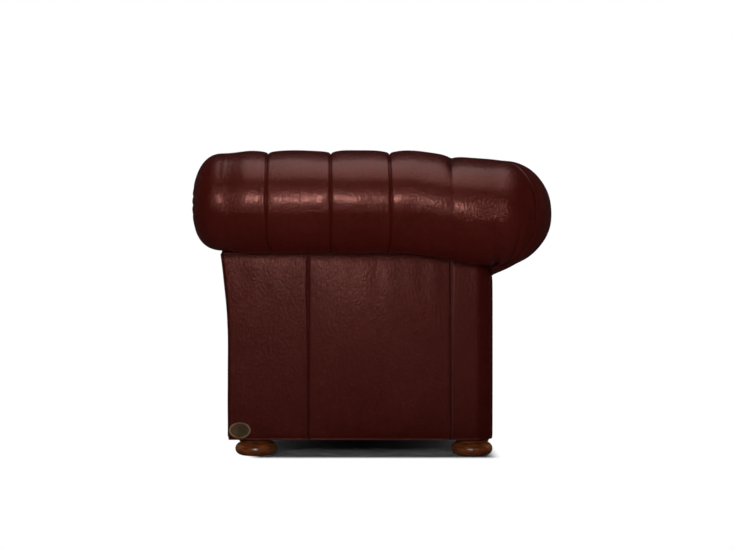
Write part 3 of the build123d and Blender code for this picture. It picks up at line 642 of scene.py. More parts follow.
@dataclass(frozen=True)
class Timber:
    """Wood with a grain along one axis, plain or lacquered."""

    name: str
    pale: Colour
    dark: Colour
    along: Colour = (1.0, 1.0, 0.12)
    gloss: float = 0.55
    lacquer: float = 0.0

    def build(self) -> bpy.types.Material:
        """Returns the material."""
        graph = Graph(self.name)
        where = graph.stretched(self.along)
        rings = graph.noise(38.0, detail=4.0, roughness=0.6, at=where)
        pores = graph.noise(420.0, detail=2.0, roughness=0.5, at=where)
        share = (rings * 0.75 + pores * 0.25).ramp(0.36, 0.64)
        colour = graph.mix(share, self.dark, self.pale)
        rough = self.gloss + (pores - 0.5) * 0.2
        normal = graph.bump(pores, 0.0002, 0.5)
        return graph.finish(Base_Color=colour, Roughness=rough.clamped(), Normal=normal,
                            Coat_Weight=self.lacquer, Coat_Roughness=0.12)


@dataclass(frozen=True)
class Cloth:
    """A woven or spun fabric whose threads run along X and Y."""

    name: str
    colour: Colour
    threads: float = 900.0
    depth: float = 0.0003

    def build(self) -> bpy.types.Material:
        """Returns the material."""
        graph = Graph(self.name)
        where = graph.stretched((1.0, 1.0, 1.0), (0.3, 0.2, 0.0))
        warp = graph.waves("X", self.threads / 6.28, where)
        weft = graph.waves("Y", self.threads / 6.28, where)
        weave = warp * 0.5 + weft * 0.5
        fluff = graph.noise(160.0, detail=3.0, roughness=0.6)
        shade = tuple(0.6 * part for part in self.colour)
        colour = graph.mix((weave * 0.6 + fluff * 0.4).clamped(), shade, self.colour)
        normal = graph.bump(weave, self.depth, 0.7)
        return graph.finish(Base_Color=colour, Roughness=0.9, Normal=normal, Sheen_Weight=0.2)


@dataclass(frozen=True)
class Metal:
    """Plated or aged metal with scratches and tarnish, and darker within an oval field if any."""

    name: str
    bright: Colour
    dull: Colour
    gloss: float = 0.32
    field_middle: Colour | None = None
    field_halves: tuple[float, float] = (1.0, 1.0)
    field_colour: Colour = (0.045, 0.026, 0.014)

    def build(self) -> bpy.types.Material:
        """Returns the material."""
        graph = Graph(self.name)
        tarnish = graph.noise(35.0, detail=2.0, roughness=0.5).ramp(0.3, 0.8)
        scratches = graph.noise(900.0, detail=2.0, roughness=0.5,
                                at=graph.stretched((1.0, 0.15, 1.0)))
        colour = graph.mix(tarnish, self.bright, self.dull)
        if self.field_middle is not None:
            half_y, half_z = self.field_halves
            place = graph.vector("SUBTRACT", graph.place(), self.field_middle)
            scaled = graph.vector("MULTIPLY", place, (0.0, 1.0 / half_y, 1.0 / half_z))
            inside = 1.0 - graph.length(scaled).ramp(0.95, 1.0)
            colour = graph.mix(inside * 0.75, colour, self.field_colour)
        rough = self.gloss + tarnish * 0.25 + (scratches - 0.5) * 0.1
        normal = graph.bump(scratches, 0.00005, 0.4)
        return graph.finish(Base_Color=colour, Roughness=rough.clamped(), Metallic=0.92,
                            Normal=normal)


@dataclass(frozen=True)
class Plain:
    """A moulded, foamed or pressed stuff with a fine grit."""

    name: str
    colour: Colour
    gloss: float = 0.7
    grit: float = 500.0
    depth: float = 0.0002

    def build(self) -> bpy.types.Material:
        """Returns the material."""
        graph = Graph(self.name)
        speck = graph.noise(self.grit, detail=4.0, roughness=0.7)
        shade = tuple(0.7 * part for part in self.colour)
        colour = graph.mix(speck.ramp(0.35, 0.6), shade, self.colour)
        normal = graph.bump(speck, self.depth, 0.6)
        return graph.finish(Base_Color=colour, Roughness=self.gloss, Normal=normal)


class Finish(Enum):
    """Every finish of the chair."""

    COVER = Leather("cover_leather")
    # panel leather: the cover leather with a darker hide, a shaded copy that paints the side panels
    # darker
    PANEL = Leather("panel_leather", hide=(0.050, 0.0055, 0.0040), gloss=0.24, specular=0.20)
    CUSHION = Leather("cushion_leather", hide=(0.106, 0.0155, 0.0125), gloss=0.32)
    BUTTON = Leather("button_leather", has_marks=False, pebble=800.0)
    WELT = Leather("welt_leather", has_marks=False, pebble=900.0, hide=(0.085, 0.0120, 0.0098))
    THREAD = Cloth("thread", (0.085, 0.020, 0.014), 3000.0, 0.0001)
    FEET = Timber("turned_feet", (0.32, 0.085, 0.022), (0.120, 0.028, 0.008),
                  along=(1.0, 1.0, 6.0), gloss=0.28, lacquer=0.20)
    BEECH = Timber("beech_frame", (0.62, 0.43, 0.25), (0.44, 0.28, 0.15))
    HARDBOARD = Plain("hardboard", (0.20, 0.12, 0.07), 0.8, 300.0)
    SPRING = Metal("spring_wire", (0.22, 0.22, 0.23), (0.09, 0.085, 0.08), 0.35)
    ZINC = Metal("zinc_plate", (0.62, 0.62, 0.60), (0.42, 0.41, 0.38), 0.3)
    BRASS = Metal("aged_brass", (0.22, 0.14, 0.065), (0.15, 0.092, 0.042), 0.42)
    BADGE = Metal("badge_metal", (0.24, 0.16, 0.08), (0.17, 0.11, 0.055), 0.45,
                  field_middle=(0.402, -0.331, 0.071), field_halves=(0.0235, 0.0165))
    WEBBING = Cloth("webbing", (0.50, 0.42, 0.30), 500.0, 0.0005)
    DUST_CLOTH = Cloth("dust_cloth", (0.018, 0.018, 0.019), 1400.0, 0.0002)
    DECK_CLOTH = Cloth("deck_cloth", (0.075, 0.022, 0.016), 1100.0, 0.0003)
    NYLON = Plain("nylon", (0.03, 0.028, 0.026), 0.5)


class Finishes:
    """Builds each finish once, when it is first asked for."""

    def __init__(self) -> None:
        """Starts with none built."""
        self.built: dict[Finish, bpy.types.Material] = {}

    def get(self, finish: Finish) -> bpy.types.Material:
        """The material of a finish."""
        if finish not in self.built:
            self.built[finish] = finish.value.build()
        return self.built[finish]


FINISHES = Finishes()


# ---------------------------------------------------------------- sizes shared by the upholstery
@dataclass
class ChairForm:
    """The chair's leading sizes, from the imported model's boxes.

    A roll's angle is 0 on its outer side and 90 degrees at its crown. Its circle starts roll_from
    degrees round, just inside its lowest point.
    """

    roll_from: float = -97.0
    arm_radius: float = 0.127
    corner_radius: float = 0.133
    arm_drop: float = 0.027
    fall_start: float = 0.060
    corner_lap: float = 0.012
    arm_inner_low: float = field(init=False)
    arm_inner_high: float = field(init=False)
    roll_x: float = field(init=False)
    arm_z: float = field(init=False)
    corner_y: float = field(init=False)
    corner_z: float = field(init=False)
    slab_bottom: float = field(init=False)
    former_front: float = field(init=False)
    panel_x: float = field(init=False)
    panel_back: float = field(init=False)
    panel_bottom: float = field(init=False)

    def __post_init__(self) -> None:
        """Reads the boxes."""
        cover_low, cover_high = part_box("arm_cover_left")
        side_low, side_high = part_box("outer_side_leather_left")
        self.arm_z = CAD_BOX[1][2] - self.arm_radius
        self.roll_x = cover_high[0] - self.corner_radius
        self.corner_y = CAD_BOX[1][1] - self.corner_radius
        self.corner_z = self.arm_z - self.arm_drop
        self.arm_inner_low = cover_low[0]
        self.arm_inner_high = self.roll_x - self.arm_radius
        self.slab_bottom = cover_low[2]
        self.former_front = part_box("front_arm_former_left")[0][1]
        self.panel_x = side_high[0]
        self.panel_back = side_high[1]
        self.panel_bottom = side_low[2]

    def fall(self, y: Points) -> Points:
        """How far along its fall an arm's roll is at y, from 0 to 1."""
        return ease((y - self.fall_start) / (self.corner_y - self.fall_start))

    def roll_z(self, y: Points) -> Points:
        """Height of an arm roll's centre at y."""
        return self.arm_z - self.arm_drop * self.fall(y)

    def roll_radius(self, y: Points) -> Points:
        """Radius of an arm roll at y."""
        return self.arm_radius + (self.corner_radius - self.arm_radius) * self.fall(y)

    def arm_face(self, z: Points) -> Points:
        """x of the left arm's inner face at height z."""
        share = np.clip((z - self.slab_bottom) / (self.arm_z - self.slab_bottom), 0.0, None)
        return between(self.arm_inner_low, self.arm_inner_high, share)


FORM = ChairForm()


# ---------------------------------------------------------------- buttoning
@dataclass
class Buttoning:
    """Deep buttons on a padded face and the folds that run between them.

    Places are (station, girth): station is measured along the roll and girth across it, from the
    crown of the roll (0) down the inner face (positive) or down the outside (negative). A fold
    joins two places. A pleat is (station, girth of its button, girth of its end, drift at its end,
    weight of its line). A tuck is (station, drift): a fainter line down the outside.
    """

    buttons: list[tuple[float, float]]
    folds: list[tuple[tuple[float, float], tuple[float, float]]]
    pleats: list[tuple[float, float, float, float, float]]
    tucks: tuple[tuple[float, float], ...] = ()
    button_depth: float = 0.0225
    button_reach: float = 0.016
    button_flat: float = 0.012
    fold_depth: float = 0.0135
    fold_reach: float = 0.0135
    fold_sag: float = 0.25
    pleat_depth: float = 0.0085
    pleat_reach: float = 0.017
    pleat_fade: float = 0.85
    pleat_wander: float = 0.0015
    line_depth: float = 0.0042
    line_reach: float = 0.0017
    tuck_share: float = 0.35

    def depth(self, station: Points, girth: Points) -> Points:
        """How far the leather is drawn in: the smooth maximum of all buttons, folds and pleats.

        A button's hollow is depth * exp(-((d - flat) / reach)^1.15). A fold is a valley that sags
        between its buttons. A pleat is a wide valley that fades down its run, with a crisp line in
        it.

        Args:
            station: place of each point along the roll.
            girth: its place across the roll.

        Returns:
            Depths in metres.
        """
        depths = [np.zeros(np.broadcast(station, girth).shape)]
        for s, g in self.buttons:
            reach = np.hypot(station - s, girth - g)
            beyond = np.maximum(reach - self.button_flat, 0.0)
            depths.append(self.button_depth * np.exp(-((beyond / self.button_reach) ** 1.15)))
        for start, end in self.folds:
            reach, share = to_segment(station, girth, start, end)
            sag = 1.0 - self.fold_sag * np.sin(np.pi * share)
            depths.append(valley(reach, self.fold_depth * sag, self.fold_reach))
        for s, top, bottom, drift, line in self.pleats:
            low, high = min(top, bottom), max(top, bottom)
            run = (girth - top) / (bottom - top)
            wander = self.pleat_wander * np.sin(run * 9.0 + s * 40.0)
            bent = s + drift * ease((run - 0.78) / 0.22) + wander
            beyond = np.maximum(low - girth, 0.0) + np.maximum(girth - high, 0.0)
            reach = np.hypot(station - bent, beyond)
            fade = 1.0 - self.pleat_fade * ease((run - 0.14) / 0.30)
            wide = valley(reach, self.pleat_depth * fade, self.pleat_reach, soft=0.003)
            crisp = valley(reach, self.line_depth * line, self.line_reach, LINE_ROUND)
            depths.append(wide + crisp)
        for s, drift in self.tucks:
            bent = s + drift * ease((-girth - 0.26) / 0.12)
            reach = np.hypot(station - bent, np.maximum(girth + 0.02, 0.0))
            depth = self.tuck_share * self.line_depth
            depths.append(valley(reach, depth, self.line_reach, LINE_ROUND))
        return deepest(depths)


# ---------------------------------------------------------------- the arms
@dataclass
class ScrollArm:
    """An arm's buttoned cover: roll, domed end, inner face and its half of the rear corner.

    It is worked out for the left side. The right arm is its mirror image.
    """

    nose_shoulder: float = -0.366
    nose_depth: float = 0.0790
    nose_roundness: float = 0.385
    dimple_depth: float = 0.019
    dimple_flat: float = 0.015
    dimple_reach: float = 0.013
    nose_gathers: float = 7.0
    nose_gather_depth: float = 0.0042
    taper_start: float = -0.300
    taper: float = 0.0072
    crease_azimuth: float = 0.66
    crease_depth: float = 0.0105
    outer_crease_depth: float = 0.0006
    crease_reach: float = 0.011
    hold_reach: float = 0.022
    gather_depth: float = 0.0120
    gather_pitch: float = 6.5
    gather_shade: float = 0.65
    slab_depth: float = 0.037
    hidden_x: float = -0.022
    level_end: float = 0.100
    level_stations: int = 130
    corner_stations: int = 72
    nose_stations: int = 34
    roll_points: int = 140
    face_points: int = 84
    bottom_points: int = 5
    hidden_points: int = 12
    pleat_stations: tuple[float, ...] = (-0.258, -0.105, 0.038)
    top_row: float = np.radians(52.0)
    pleat_end: float = np.radians(186.0)
    middle_row_z: float = 0.612
    low_row_z: float = 0.515
    ripple_seed: int = 7

    def girth_of(self, z: Points) -> Points:
        """Girth of a height on the inner face."""
        return self.top_girth_end + (FORM.arm_z - z)

    @property
    def top_girth_end(self) -> float:
        """Girth where the roll meets the inner face."""
        return FORM.arm_radius * np.pi / 2

    def buttoning(self) -> Buttoning:
        """The arm's buttons and folds."""
        tops = list(self.pleat_stations)
        first, last = tops[0], tops[-1]
        step = (last - first) / (len(tops) - 1)
        mids = [first - step / 2 + k * step for k in range(len(tops) + 1)]
        row_a = FORM.arm_radius * self.top_row
        row_b, row_c = self.girth_of(self.middle_row_z), self.girth_of(self.low_row_z)
        low_end = self.girth_of(FORM.slab_bottom)
        rows = ((tops, row_a), (mids, row_b), (tops, row_c))
        buttons = [(s, row) for stations, row in rows for s in stations]
        folds = []
        for k, s in enumerate(tops):
            for mid in (mids[k], mids[k + 1]):
                folds.append(((s, row_a), (mid, row_b)))
                folds.append(((s, row_c), (mid, row_b)))
            folds.append(((s, row_c), (s, low_end)))
        corner = last + step
        folds.append(((mids[-1], row_b), (corner - 0.02, row_a)))
        folds.append(((mids[-1], row_b), (corner - 0.02, row_c)))
        folds.append(((mids[0], row_b), (mids[0] - 0.05, row_b - 0.03)))
        under = -FORM.arm_radius * self.pleat_end
        pleats = [(s, row_a, under, drift, 1.0) for s, drift in zip(tops, (0.012, 0.0, -0.004))]
        pleats.append((corner + 0.002, 0.01, under, 0.004, 0.15))
        return Buttoning(buttons, folds, pleats, ((tops[0] - 0.0125, 0.006),))

    def section(self, y: Points) -> tuple[Points, Points, Points]:
        """The arm's closed section at each station: outward offset, height and girth.

        The roll is a circle from just inside its lowest point, over the outside and the crown, to
        its inner side. Then the inner face runs down to the deck, and the hidden back closes the
        loop.

        Args:
            y: station of each ring, as a column.

        Returns:
            Offsets from the roll's centre line, heights and girths, rings by points.
        """
        centre, radius, flat = FORM.roll_z(y), FORM.roll_radius(y), 0 * y
        roll = self.roll_arc(y)
        down = np.linspace(0.0, 1.0, self.face_points)[None]
        z = between(centre, FORM.slab_bottom, down)
        foot = FORM.arm_inner_low - FORM.roll_x
        face = (between(-radius, foot, down), z, radius * np.pi / 2 + (centre - z))
        inside = FORM.arm_inner_low + self.slab_depth - FORM.roll_x
        step = np.linspace(0.0, 1.0, self.bottom_points + 1)[None, 1:]
        bottom = (between(foot, inside, step) + flat, FORM.slab_bottom + 0 * step + flat,
                  face[2][:, -1:] + self.slab_depth * step)
        rise = np.linspace(0.0, 1.0, self.hidden_points + 1)[None, 1:]
        hidden = (between(inside, self.hidden_x, ease((rise - 0.5) / 0.5)) + flat,
                  between(FORM.slab_bottom, centre - radius + 0.02, rise),
                  bottom[2][:, -1:] + 0.3 * rise)
        return joined(roll, face, bottom, hidden)

    def roll_arc(self, y: Points) -> tuple[Points, Points, Points]:
        """The roll's part of the section: a circle from roll_from to 180 degrees.

        Args:
            y: the station of each ring, or of each point.

        Returns:
            Offsets, heights and girths.
        """
        centre, radius = FORM.roll_z(y), FORM.roll_radius(y)
        degrees = np.linspace(FORM.roll_from, 180.0, self.roll_points, endpoint=False)
        angle = np.radians(degrees)[None]
        return (radius * np.cos(angle), centre + radius * np.sin(angle),
                radius * (angle - np.pi / 2))

    def nose_section(self, y: Points) -> tuple[Points, Points]:
        """The full circle of the domed end, with as many points as the section.

        Args:
            y: one row for each ring.

        Returns:
            Angles round the roll's centre, and girths.
        """
        roll = np.linspace(FORM.roll_from, 180.0, self.roll_points, endpoint=False)
        rest = self.face_points + self.bottom_points + self.hidden_points
        under = np.linspace(180.0, FORM.roll_from + 360.0, rest, endpoint=False)
        angle = np.radians(np.concatenate([roll, under]))[None] + 0 * y
        return angle, FORM.arm_radius * (angle - np.pi / 2)

    def nose(self) -> tuple[Points, Points]:
        """The domed end: rings round the roll's centre, with a dimple and gathers in the middle.

        At radius r the dome stands depth * (1 - (r / R)^n)^roundness forward of the shoulder, where
        n grows from 2 at the top of the roll to 3 at its underside. Near the centre the leather
        sinks to the rosette in rounded gathers.

        Returns:
            The rings' points, and the painted shade of each from the dimple and gathers.
        """
        share = np.linspace(0.0, 1.0, self.nose_stations, endpoint=False)[:, None]
        out = np.sin(share * np.pi / 2) ** 0.9
        out[0] = 0.02
        angle = self.nose_section(out)[0]
        power = 2.5 - 0.5 * np.sin(angle)
        forward = self.nose_depth * (1.0 - out**power) ** self.nose_roundness
        reach = out * (FORM.arm_radius - self.taper)
        beyond = np.maximum(reach - self.dimple_flat, 0.0)
        dimple = self.dimple_depth * np.exp(-((beyond / self.dimple_reach) ** 1.4))
        pleats = np.abs(np.cos(angle * self.nose_gathers + 0.4 * np.sin(angle * 3.0)))
        amount = self.nose_gather_depth * np.exp(-((reach - 0.036) / 0.026) ** 2)
        gathered = amount * (1.0 - pleats**0.7)
        x = FORM.roll_x + reach * np.cos(angle)
        y = self.nose_shoulder - forward + dimple + gathered
        z = FORM.arm_z + reach * np.sin(angle)
        # painted shade in the domed end's dimple and gathers
        hollow = (dimple * 0.35 + gathered * 1.6) / FOLD_SHADE
        return np.stack([x, y, z], axis=-1), np.clip(hollow, 0.0, 1.0)

    def line_end(self, offset: Points) -> tuple[Points, Points]:
        """Where each line of the arm ends: its y on the mitre, and its turn round the corner."""
        straight = np.where(offset < 0, FORM.corner_y + offset, FORM.corner_y)
        turn = np.where(offset > 0, self.crease_azimuth, 0.0)
        return straight, turn

    def crease(self, x: Points, y: Points) -> Points:
        """Depth of the crease at the corner: valleys along two rays in plan from the rolls' corner.

        Both start at the inner ray's depth, and the outer one fades to its own as a bell.

        Args:
            x: where each point is.
            y: where each point is.

        Returns:
            Depths in metres.
        """
        px, py = x - FORM.roll_x, y - FORM.corner_y
        inner = (-np.sqrt(0.5), -np.sqrt(0.5), self.crease_depth, 0.0032)
        outer = (np.cos(self.crease_azimuth), np.sin(self.crease_azimuth),
                 self.outer_crease_depth, 0.0018)
        depths = []
        for ux, uy, depth, line in (inner, outer):
            along = px * ux + py * uy
            reach = np.where(along > 0, np.abs(px * uy - py * ux), np.hypot(px, py))
            fade = np.exp(-((np.maximum(along, 0.0) / 0.065) ** 2))
            wide = depth + (self.crease_depth - depth) * fade
            depths.append(valley(reach, wide, self.crease_reach, soft=0.001)
                          + valley(reach, line, 0.0018, LINE_ROUND))
        return np.maximum(*depths)

    def pushed(self, base: Points, outward: Points, amount: Points) -> Points:
        """The points pushed in along their normals, but not off the mitre near the inner crease.

        At the mitre's plane a push keeps only its part in the plane, so that both covers still meet
        there. That hold fades as a bell over the distance from the plane.

        Args:
            base: rings of points.
            outward: their unit normals.
            amount: how far each point is pushed in.

        Returns:
            The pushed rings.
        """
        side = np.where(base[..., 0] < 0, -1.0, 1.0)
        x, y = np.abs(base[..., 0]) - FORM.roll_x, base[..., 1] - FORM.corner_y
        hold = np.exp(-(((x - y) / self.hold_reach) ** 2)) * (x + y < 0)
        plane = np.stack([side, 0 * side - 1.0, 0 * side], axis=-1) / np.sqrt(2.0)
        off = np.einsum("ijk,ijk->ij", outward, plane)
        return base - (outward - plane * (off * hold)[..., None]) * amount[..., None]

    def tapered(self, y: Points, girth: Points) -> Points:
        """How far the roll draws in towards its domed end, fading down the inner face."""
        inner = 1.0 - ease((girth - self.top_girth_end) / 0.06)
        ahead = (self.taper_start - y) / (self.taper_start - self.nose_shoulder)
        return self.taper * ease(ahead) * inner

    def gathers(self, turn: Points, angle: Points) -> Points:
        """Folds that meet under the corner: sharp valleys by azimuth that fade upwards."""
        rise = np.clip((angle + np.pi / 2) / np.radians(92.0), 0.0, 1.0)
        strength = self.gather_depth * (1.0 - ease(rise)) * ease((turn + 0.45) / 0.3)
        waves = np.abs(np.sin(turn * self.gather_pitch + 0.9 + 0.5 * angle))
        return strength * (1.0 - waves) ** 3

    def shade(self, total: Points, folds: Points | float = 0.0) -> Points:
        """Painted shade from 0 to 1 from how deep each point lies in a fold, with the gathers' part
        lightened.
        """
        return np.clip((total - self.gather_shade * folds) / FOLD_SHADE, 0.0, 1.0)

    def rings(self) -> tuple[Points, Points]:
        """The whole arm as closed rings from the centre of its domed end to the corner's crease.

        Returns:
            The rings' points, and the painted shade of each from how deep it lies in a fold.
        """
        buttoning = self.buttoning()
        nose, nose_hollow = self.nose()
        short = np.linspace(self.nose_shoulder, FORM.former_front - FRONT_GAP, 8)[:, None]
        angle, girth = self.nose_section(short)
        behind = short - self.nose_shoulder
        lead_depth = buttoning.depth(short + 0 * angle, girth) * ease(behind / 0.02)
        puff = puffed(short, girth, self.ripple_seed) * ease(behind / 0.004)
        radius = FORM.arm_radius - lead_depth - self.tapered(short, girth * (girth < 0)) + puff
        lead = np.stack([FORM.roll_x + radius * np.cos(angle), short + 0 * angle,
                         FORM.arm_z + radius * np.sin(angle)], axis=-1)

        start = FORM.former_front
        level = spaced(start, self.level_end, self.pleat_stations, self.level_stations)[:, None]
        share = np.linspace(0.0, 1.0, self.corner_stations + 1)[1:, None]
        guess = np.concatenate([level, between(self.level_end, FORM.corner_y, share)])
        offset = self.section(guess)[0]
        straight_end, turn_end = self.line_end(offset)
        length = (straight_end - start) + np.maximum(offset, 0.0) * turn_end
        ahead, part = self.level_end - start, np.concatenate([0.0 * level, share])
        run = np.where(part > 0, ahead + part * (length - ahead), guess - start)
        y = np.minimum(start + run, straight_end)
        offset, z, girth = self.section_at(y)
        past = (run - (straight_end - start)) / np.maximum(offset, TINY)
        turn = np.clip(np.where(offset > TINY, past, 0.0), 0.0, self.crease_azimuth)
        base = np.stack([FORM.roll_x + offset * np.cos(turn), y + offset * np.sin(turn), z],
                        axis=-1)
        station = y + FORM.corner_radius * turn
        crease = self.crease(base[..., 0], base[..., 1])
        angle = girth / FORM.corner_radius + np.pi / 2
        folds = self.gathers((station - FORM.corner_y) / FORM.corner_radius, angle)
        total = deepest([buttoning.depth(station, girth), crease, folds])
        hidden = np.arange(base.shape[1]) >= self.roll_points + self.face_points
        total[:, hidden] = 0.0
        puff = puffed(station, girth, self.ripple_seed)
        puff[:, hidden] = 0.0
        outward = outward_normals(base, slice(0, self.roll_points))
        amount = total + self.tapered(base[..., 1], girth) * ~hidden - puff
        rings = np.concatenate([nose, lead, self.pushed(base, outward, amount)])
        # painted shade for the end, the lead and the arm, from their fold depths
        shades = [nose_hollow, self.shade(lead_depth), self.shade(total, folds)]
        return rings, np.concatenate(shades)

    def section_at(self, y: Points) -> tuple[Points, Points, Points]:
        """The section, with each point of the roll at its own station.

        Args:
            y: rings by points.

        Returns:
            Offsets, heights and girths, rings by points.
        """
        section = self.section(y[:, :1])
        for whole, roll in zip(section, self.roll_arc(y[:, :self.roll_points])):
            whole[:, :self.roll_points] = roll
        return section

    def build(self) -> None:
        """Makes the left arm and its mirror image."""
        rings, hollow = self.rings()
        for side, mirror in SIDES.items():
            piece = loft_piece(f"arm_upholstery_{side}", rings * mirror,
                               FINISHES.get(Finish.COVER), hollow)
            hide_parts(f"arm_cover_{side}", f"arm_pad_{side}")
            report(piece)


# ---------------------------------------------------------------- the back
@dataclass
class ScrollBack:
    """The back's buttoned cover: roll, tail, inner face and its halves of both rear corners."""

    arm: ScrollArm
    level_half: float = 0.090
    crown_rise: float = 0.014
    half_stations: int = 118
    tail_points: int = 18
    roll_points: int = 122
    face_points: int = 84
    bottom_points: int = 5
    hidden_points: int = 18
    pitch: float = 0.150
    face_low: float = 0.130
    slab_back: float = 0.198
    hidden_y: float = -0.012
    hidden_drop: float = 0.046
    tail_end_x: float = 0.345
    ripple_seed: int = 11
    middle_row_z: float = 0.5985
    low_row_z: float = 0.5015
    top_row: float = np.radians(52.0)
    tail_top: float = field(init=False)
    body_back: float = field(init=False)
    leave: float = field(init=False)

    def __post_init__(self) -> None:
        """Finds where the leather leaves the roll for the top of the outer back panel."""
        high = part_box("outer_back_leather")[1]
        self.body_back, self.tail_top = high[1], high[2] + 0.002
        along, down = FORM.corner_y - self.body_back, FORM.corner_z - self.tail_top
        tangent = np.arccos(FORM.corner_radius / np.hypot(along, down))
        self.leave = float(tangent - np.arctan2(down, -along))

    def crown(self, x: Points) -> Points:
        """How far the roll stands up at x."""
        share = (np.abs(x) - self.level_half) / (FORM.roll_x - self.level_half)
        return self.crown_rise * (1.0 - ease(share))

    def girth_of(self, x: float, z: float) -> float:
        """Girth of a height on the inner face at x."""
        return float(FORM.corner_radius * np.pi / 2 + FORM.corner_z + self.crown(np.array(x)) - z)

    def buttoning(self) -> Buttoning:
        """The back's buttons and folds."""
        tops = [(k + 0.5) * self.pitch for k in (-2, -1, 0, 1)]
        mids = [k * self.pitch for k in (-2, -1, 0, 1, 2)]
        row_a = FORM.corner_radius * self.top_row
        mid = {s: (s, self.girth_of(s, self.middle_row_z)) for s in mids}
        low = {s: (s, self.girth_of(s, self.low_row_z)) for s in tops}
        buttons = [(s, row_a) for s in tops] + [mid[s] for s in mids[1:-1]] + list(low.values())
        folds = []
        for k, s in enumerate(tops):
            for m in (mids[k], mids[k + 1]):
                folds.append(((s, row_a), mid[m]))
                folds.append((low[s], mid[m]))
            folds.append((low[s], (s, low[s][1] + 0.30)))
        under = FORM.corner_radius * (self.leave - np.pi / 2) - 0.05
        drifts = (0.006, -0.004, 0.003, -0.006)
        pleats = [(s, row_a, under, drift, 1.0) for s, drift in zip(tops, drifts)]
        return Buttoning(buttons, folds, pleats)

    def section(self, x: Points) -> tuple[Points, Points, Points]:
        """The back's closed section at each station, as for an arm but with +Y outwards.

        The tail rises straight from the outer back panel to the roll, which it meets on a tangent.
        Towards a corner the tail gives way to the underside of the ball that rounds the corner.

        Args:
            x: station of each ring, as a column.

        Returns:
            Offsets from the roll's centre line, heights and girths, rings by points.
        """
        lift, flat = self.crown(x), 0 * x
        centre, radius = FORM.corner_z + lift, FORM.corner_radius
        rise = np.linspace(0.0, 1.0, self.tail_points, endpoint=False)[None]
        straight_x = between(self.body_back - FORM.corner_y, radius * np.cos(self.leave), rise)
        straight_z = between(self.tail_top, FORM.corner_z + radius * np.sin(self.leave), rise)
        straight_z = straight_z + lift * rise
        turn = between(np.radians(FORM.roll_from), self.leave, rise)
        share = ease((np.abs(x) - self.tail_end_x) / (FORM.roll_x - self.tail_end_x))
        tail = (between(straight_x, radius * np.cos(turn), share),
                between(straight_z, centre + radius * np.sin(turn), share),
                radius * (self.leave - np.pi / 2) - 0.08 * (1.0 - rise) + flat)
        angle = np.linspace(self.leave, np.pi, self.roll_points, endpoint=False)[None]
        roll = (radius * np.cos(angle) + flat, centre + radius * np.sin(angle),
                radius * (angle - np.pi / 2) + flat)
        down = np.linspace(0.0, 1.0, self.face_points)[None]
        z = between(centre, FORM.slab_bottom, down)
        foot, inside = self.face_low - FORM.corner_y, self.slab_back - FORM.corner_y
        face = (between(-radius, foot, down) + flat, z, radius * np.pi / 2 + (centre - z))
        step = np.linspace(0.0, 1.0, self.bottom_points + 1)[None, 1:]
        bottom = (between(foot, inside, step) + flat, FORM.slab_bottom + 0 * step + flat,
                  face[2][:, -1:] + 0.06 * step)
        third = self.hidden_points // 3
        up = np.linspace(0.0, 1.0, third + 1)[None, 1:]
        top = centre - self.hidden_drop
        hidden_x = [inside + 0 * up, between(inside, self.hidden_y, up), self.hidden_y + 0 * up]
        hidden_z = [between(FORM.slab_bottom, top, up), top + 0 * up,
                    between(top, self.tail_top + 0.004, up)]
        hidden = (np.concatenate(hidden_x, axis=1) + flat, np.concatenate(hidden_z, axis=1),
                  bottom[2][:, -1:] + np.linspace(0.0, 0.3, 3 * third)[None])
        return joined(tail, roll, face, bottom, hidden)

    def rings(self) -> tuple[Points, Points]:
        """The whole back as closed rings from the right corner's crease to the left one's.

        Returns:
            The rings' points, and the painted shade of each from how deep it lies in a fold.
        """
        half = np.sin(np.linspace(0.0, 1.0, self.half_stations) * 1.25) / np.sin(1.25)
        share = np.concatenate([-half[:0:-1], half])[:, None]
        guess = np.abs(share) * FORM.roll_x
        offset, z, girth = self.section(guess)
        first_face = self.tail_points + self.roll_points
        is_face = np.arange(offset.shape[1]) >= first_face
        straight = np.where(offset < 0, FORM.roll_x + offset, FORM.roll_x)
        arm = FORM.arm_face(z) + 0.004
        straight = np.where(is_face[None], np.maximum(straight, arm), straight)
        is_tail = (np.arange(offset.shape[1]) < self.tail_points)[None] & (offset < 0)
        straight = np.where(is_tail, FORM.roll_x, straight)
        most_turn = np.pi / 2 - self.arm.crease_azimuth
        turn_end = np.where((offset > TINY) & ~is_face[None], most_turn, 0.0)
        length = straight + np.maximum(offset, 0.0) * turn_end
        run = np.abs(share) * length
        x = np.minimum(run, straight)
        centre_lift = self.crown(x) - self.crown(guess)
        above = ease((z - self.tail_top) / 0.05)
        on_face = 1.0 - is_face[None] * (1.0 - ease((z - FORM.slab_bottom) / 0.3))
        z = z + centre_lift * above * on_face
        turn = np.where(offset > TINY, (run - straight) / np.maximum(offset, TINY), 0.0)
        turn = np.clip(turn, 0.0, most_turn)
        sign = np.sign(share) + (share == 0)
        base = np.stack([sign * (x + offset * np.sin(turn)),
                         FORM.corner_y + offset * np.cos(turn), z], axis=-1)
        station = sign * (x + FORM.corner_radius * turn)
        crease = self.arm.crease(np.abs(base[..., 0]), base[..., 1])
        angle = girth / FORM.corner_radius + np.pi / 2
        past = (np.abs(station) - FORM.roll_x) / FORM.corner_radius
        folds = self.arm.gathers(past, angle)
        total = deepest([self.buttoning().depth(station, girth), crease, folds])
        hidden = np.arange(base.shape[1]) >= first_face + self.face_points
        total[:, hidden] = 0.0
        total = total * np.clip(np.arange(base.shape[1]) / 6.0, 0.0, 1.0)[None]
        puff = puffed(station, girth, self.ripple_seed)
        puff[:, hidden] = 0.0
        outward = outward_normals(base, slice(self.tail_points, first_face))
        # the second result is painted shade from the fold depths
        return self.arm.pushed(base, outward, total - puff), self.arm.shade(total, folds)

    def build(self) -> None:
        """Makes the back."""
        rings, hollow = self.rings()
        piece = loft_piece("back_upholstery", rings, FINISHES.get(Finish.COVER), hollow)
        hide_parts("back_cover", "back_pad")
        report(piece)


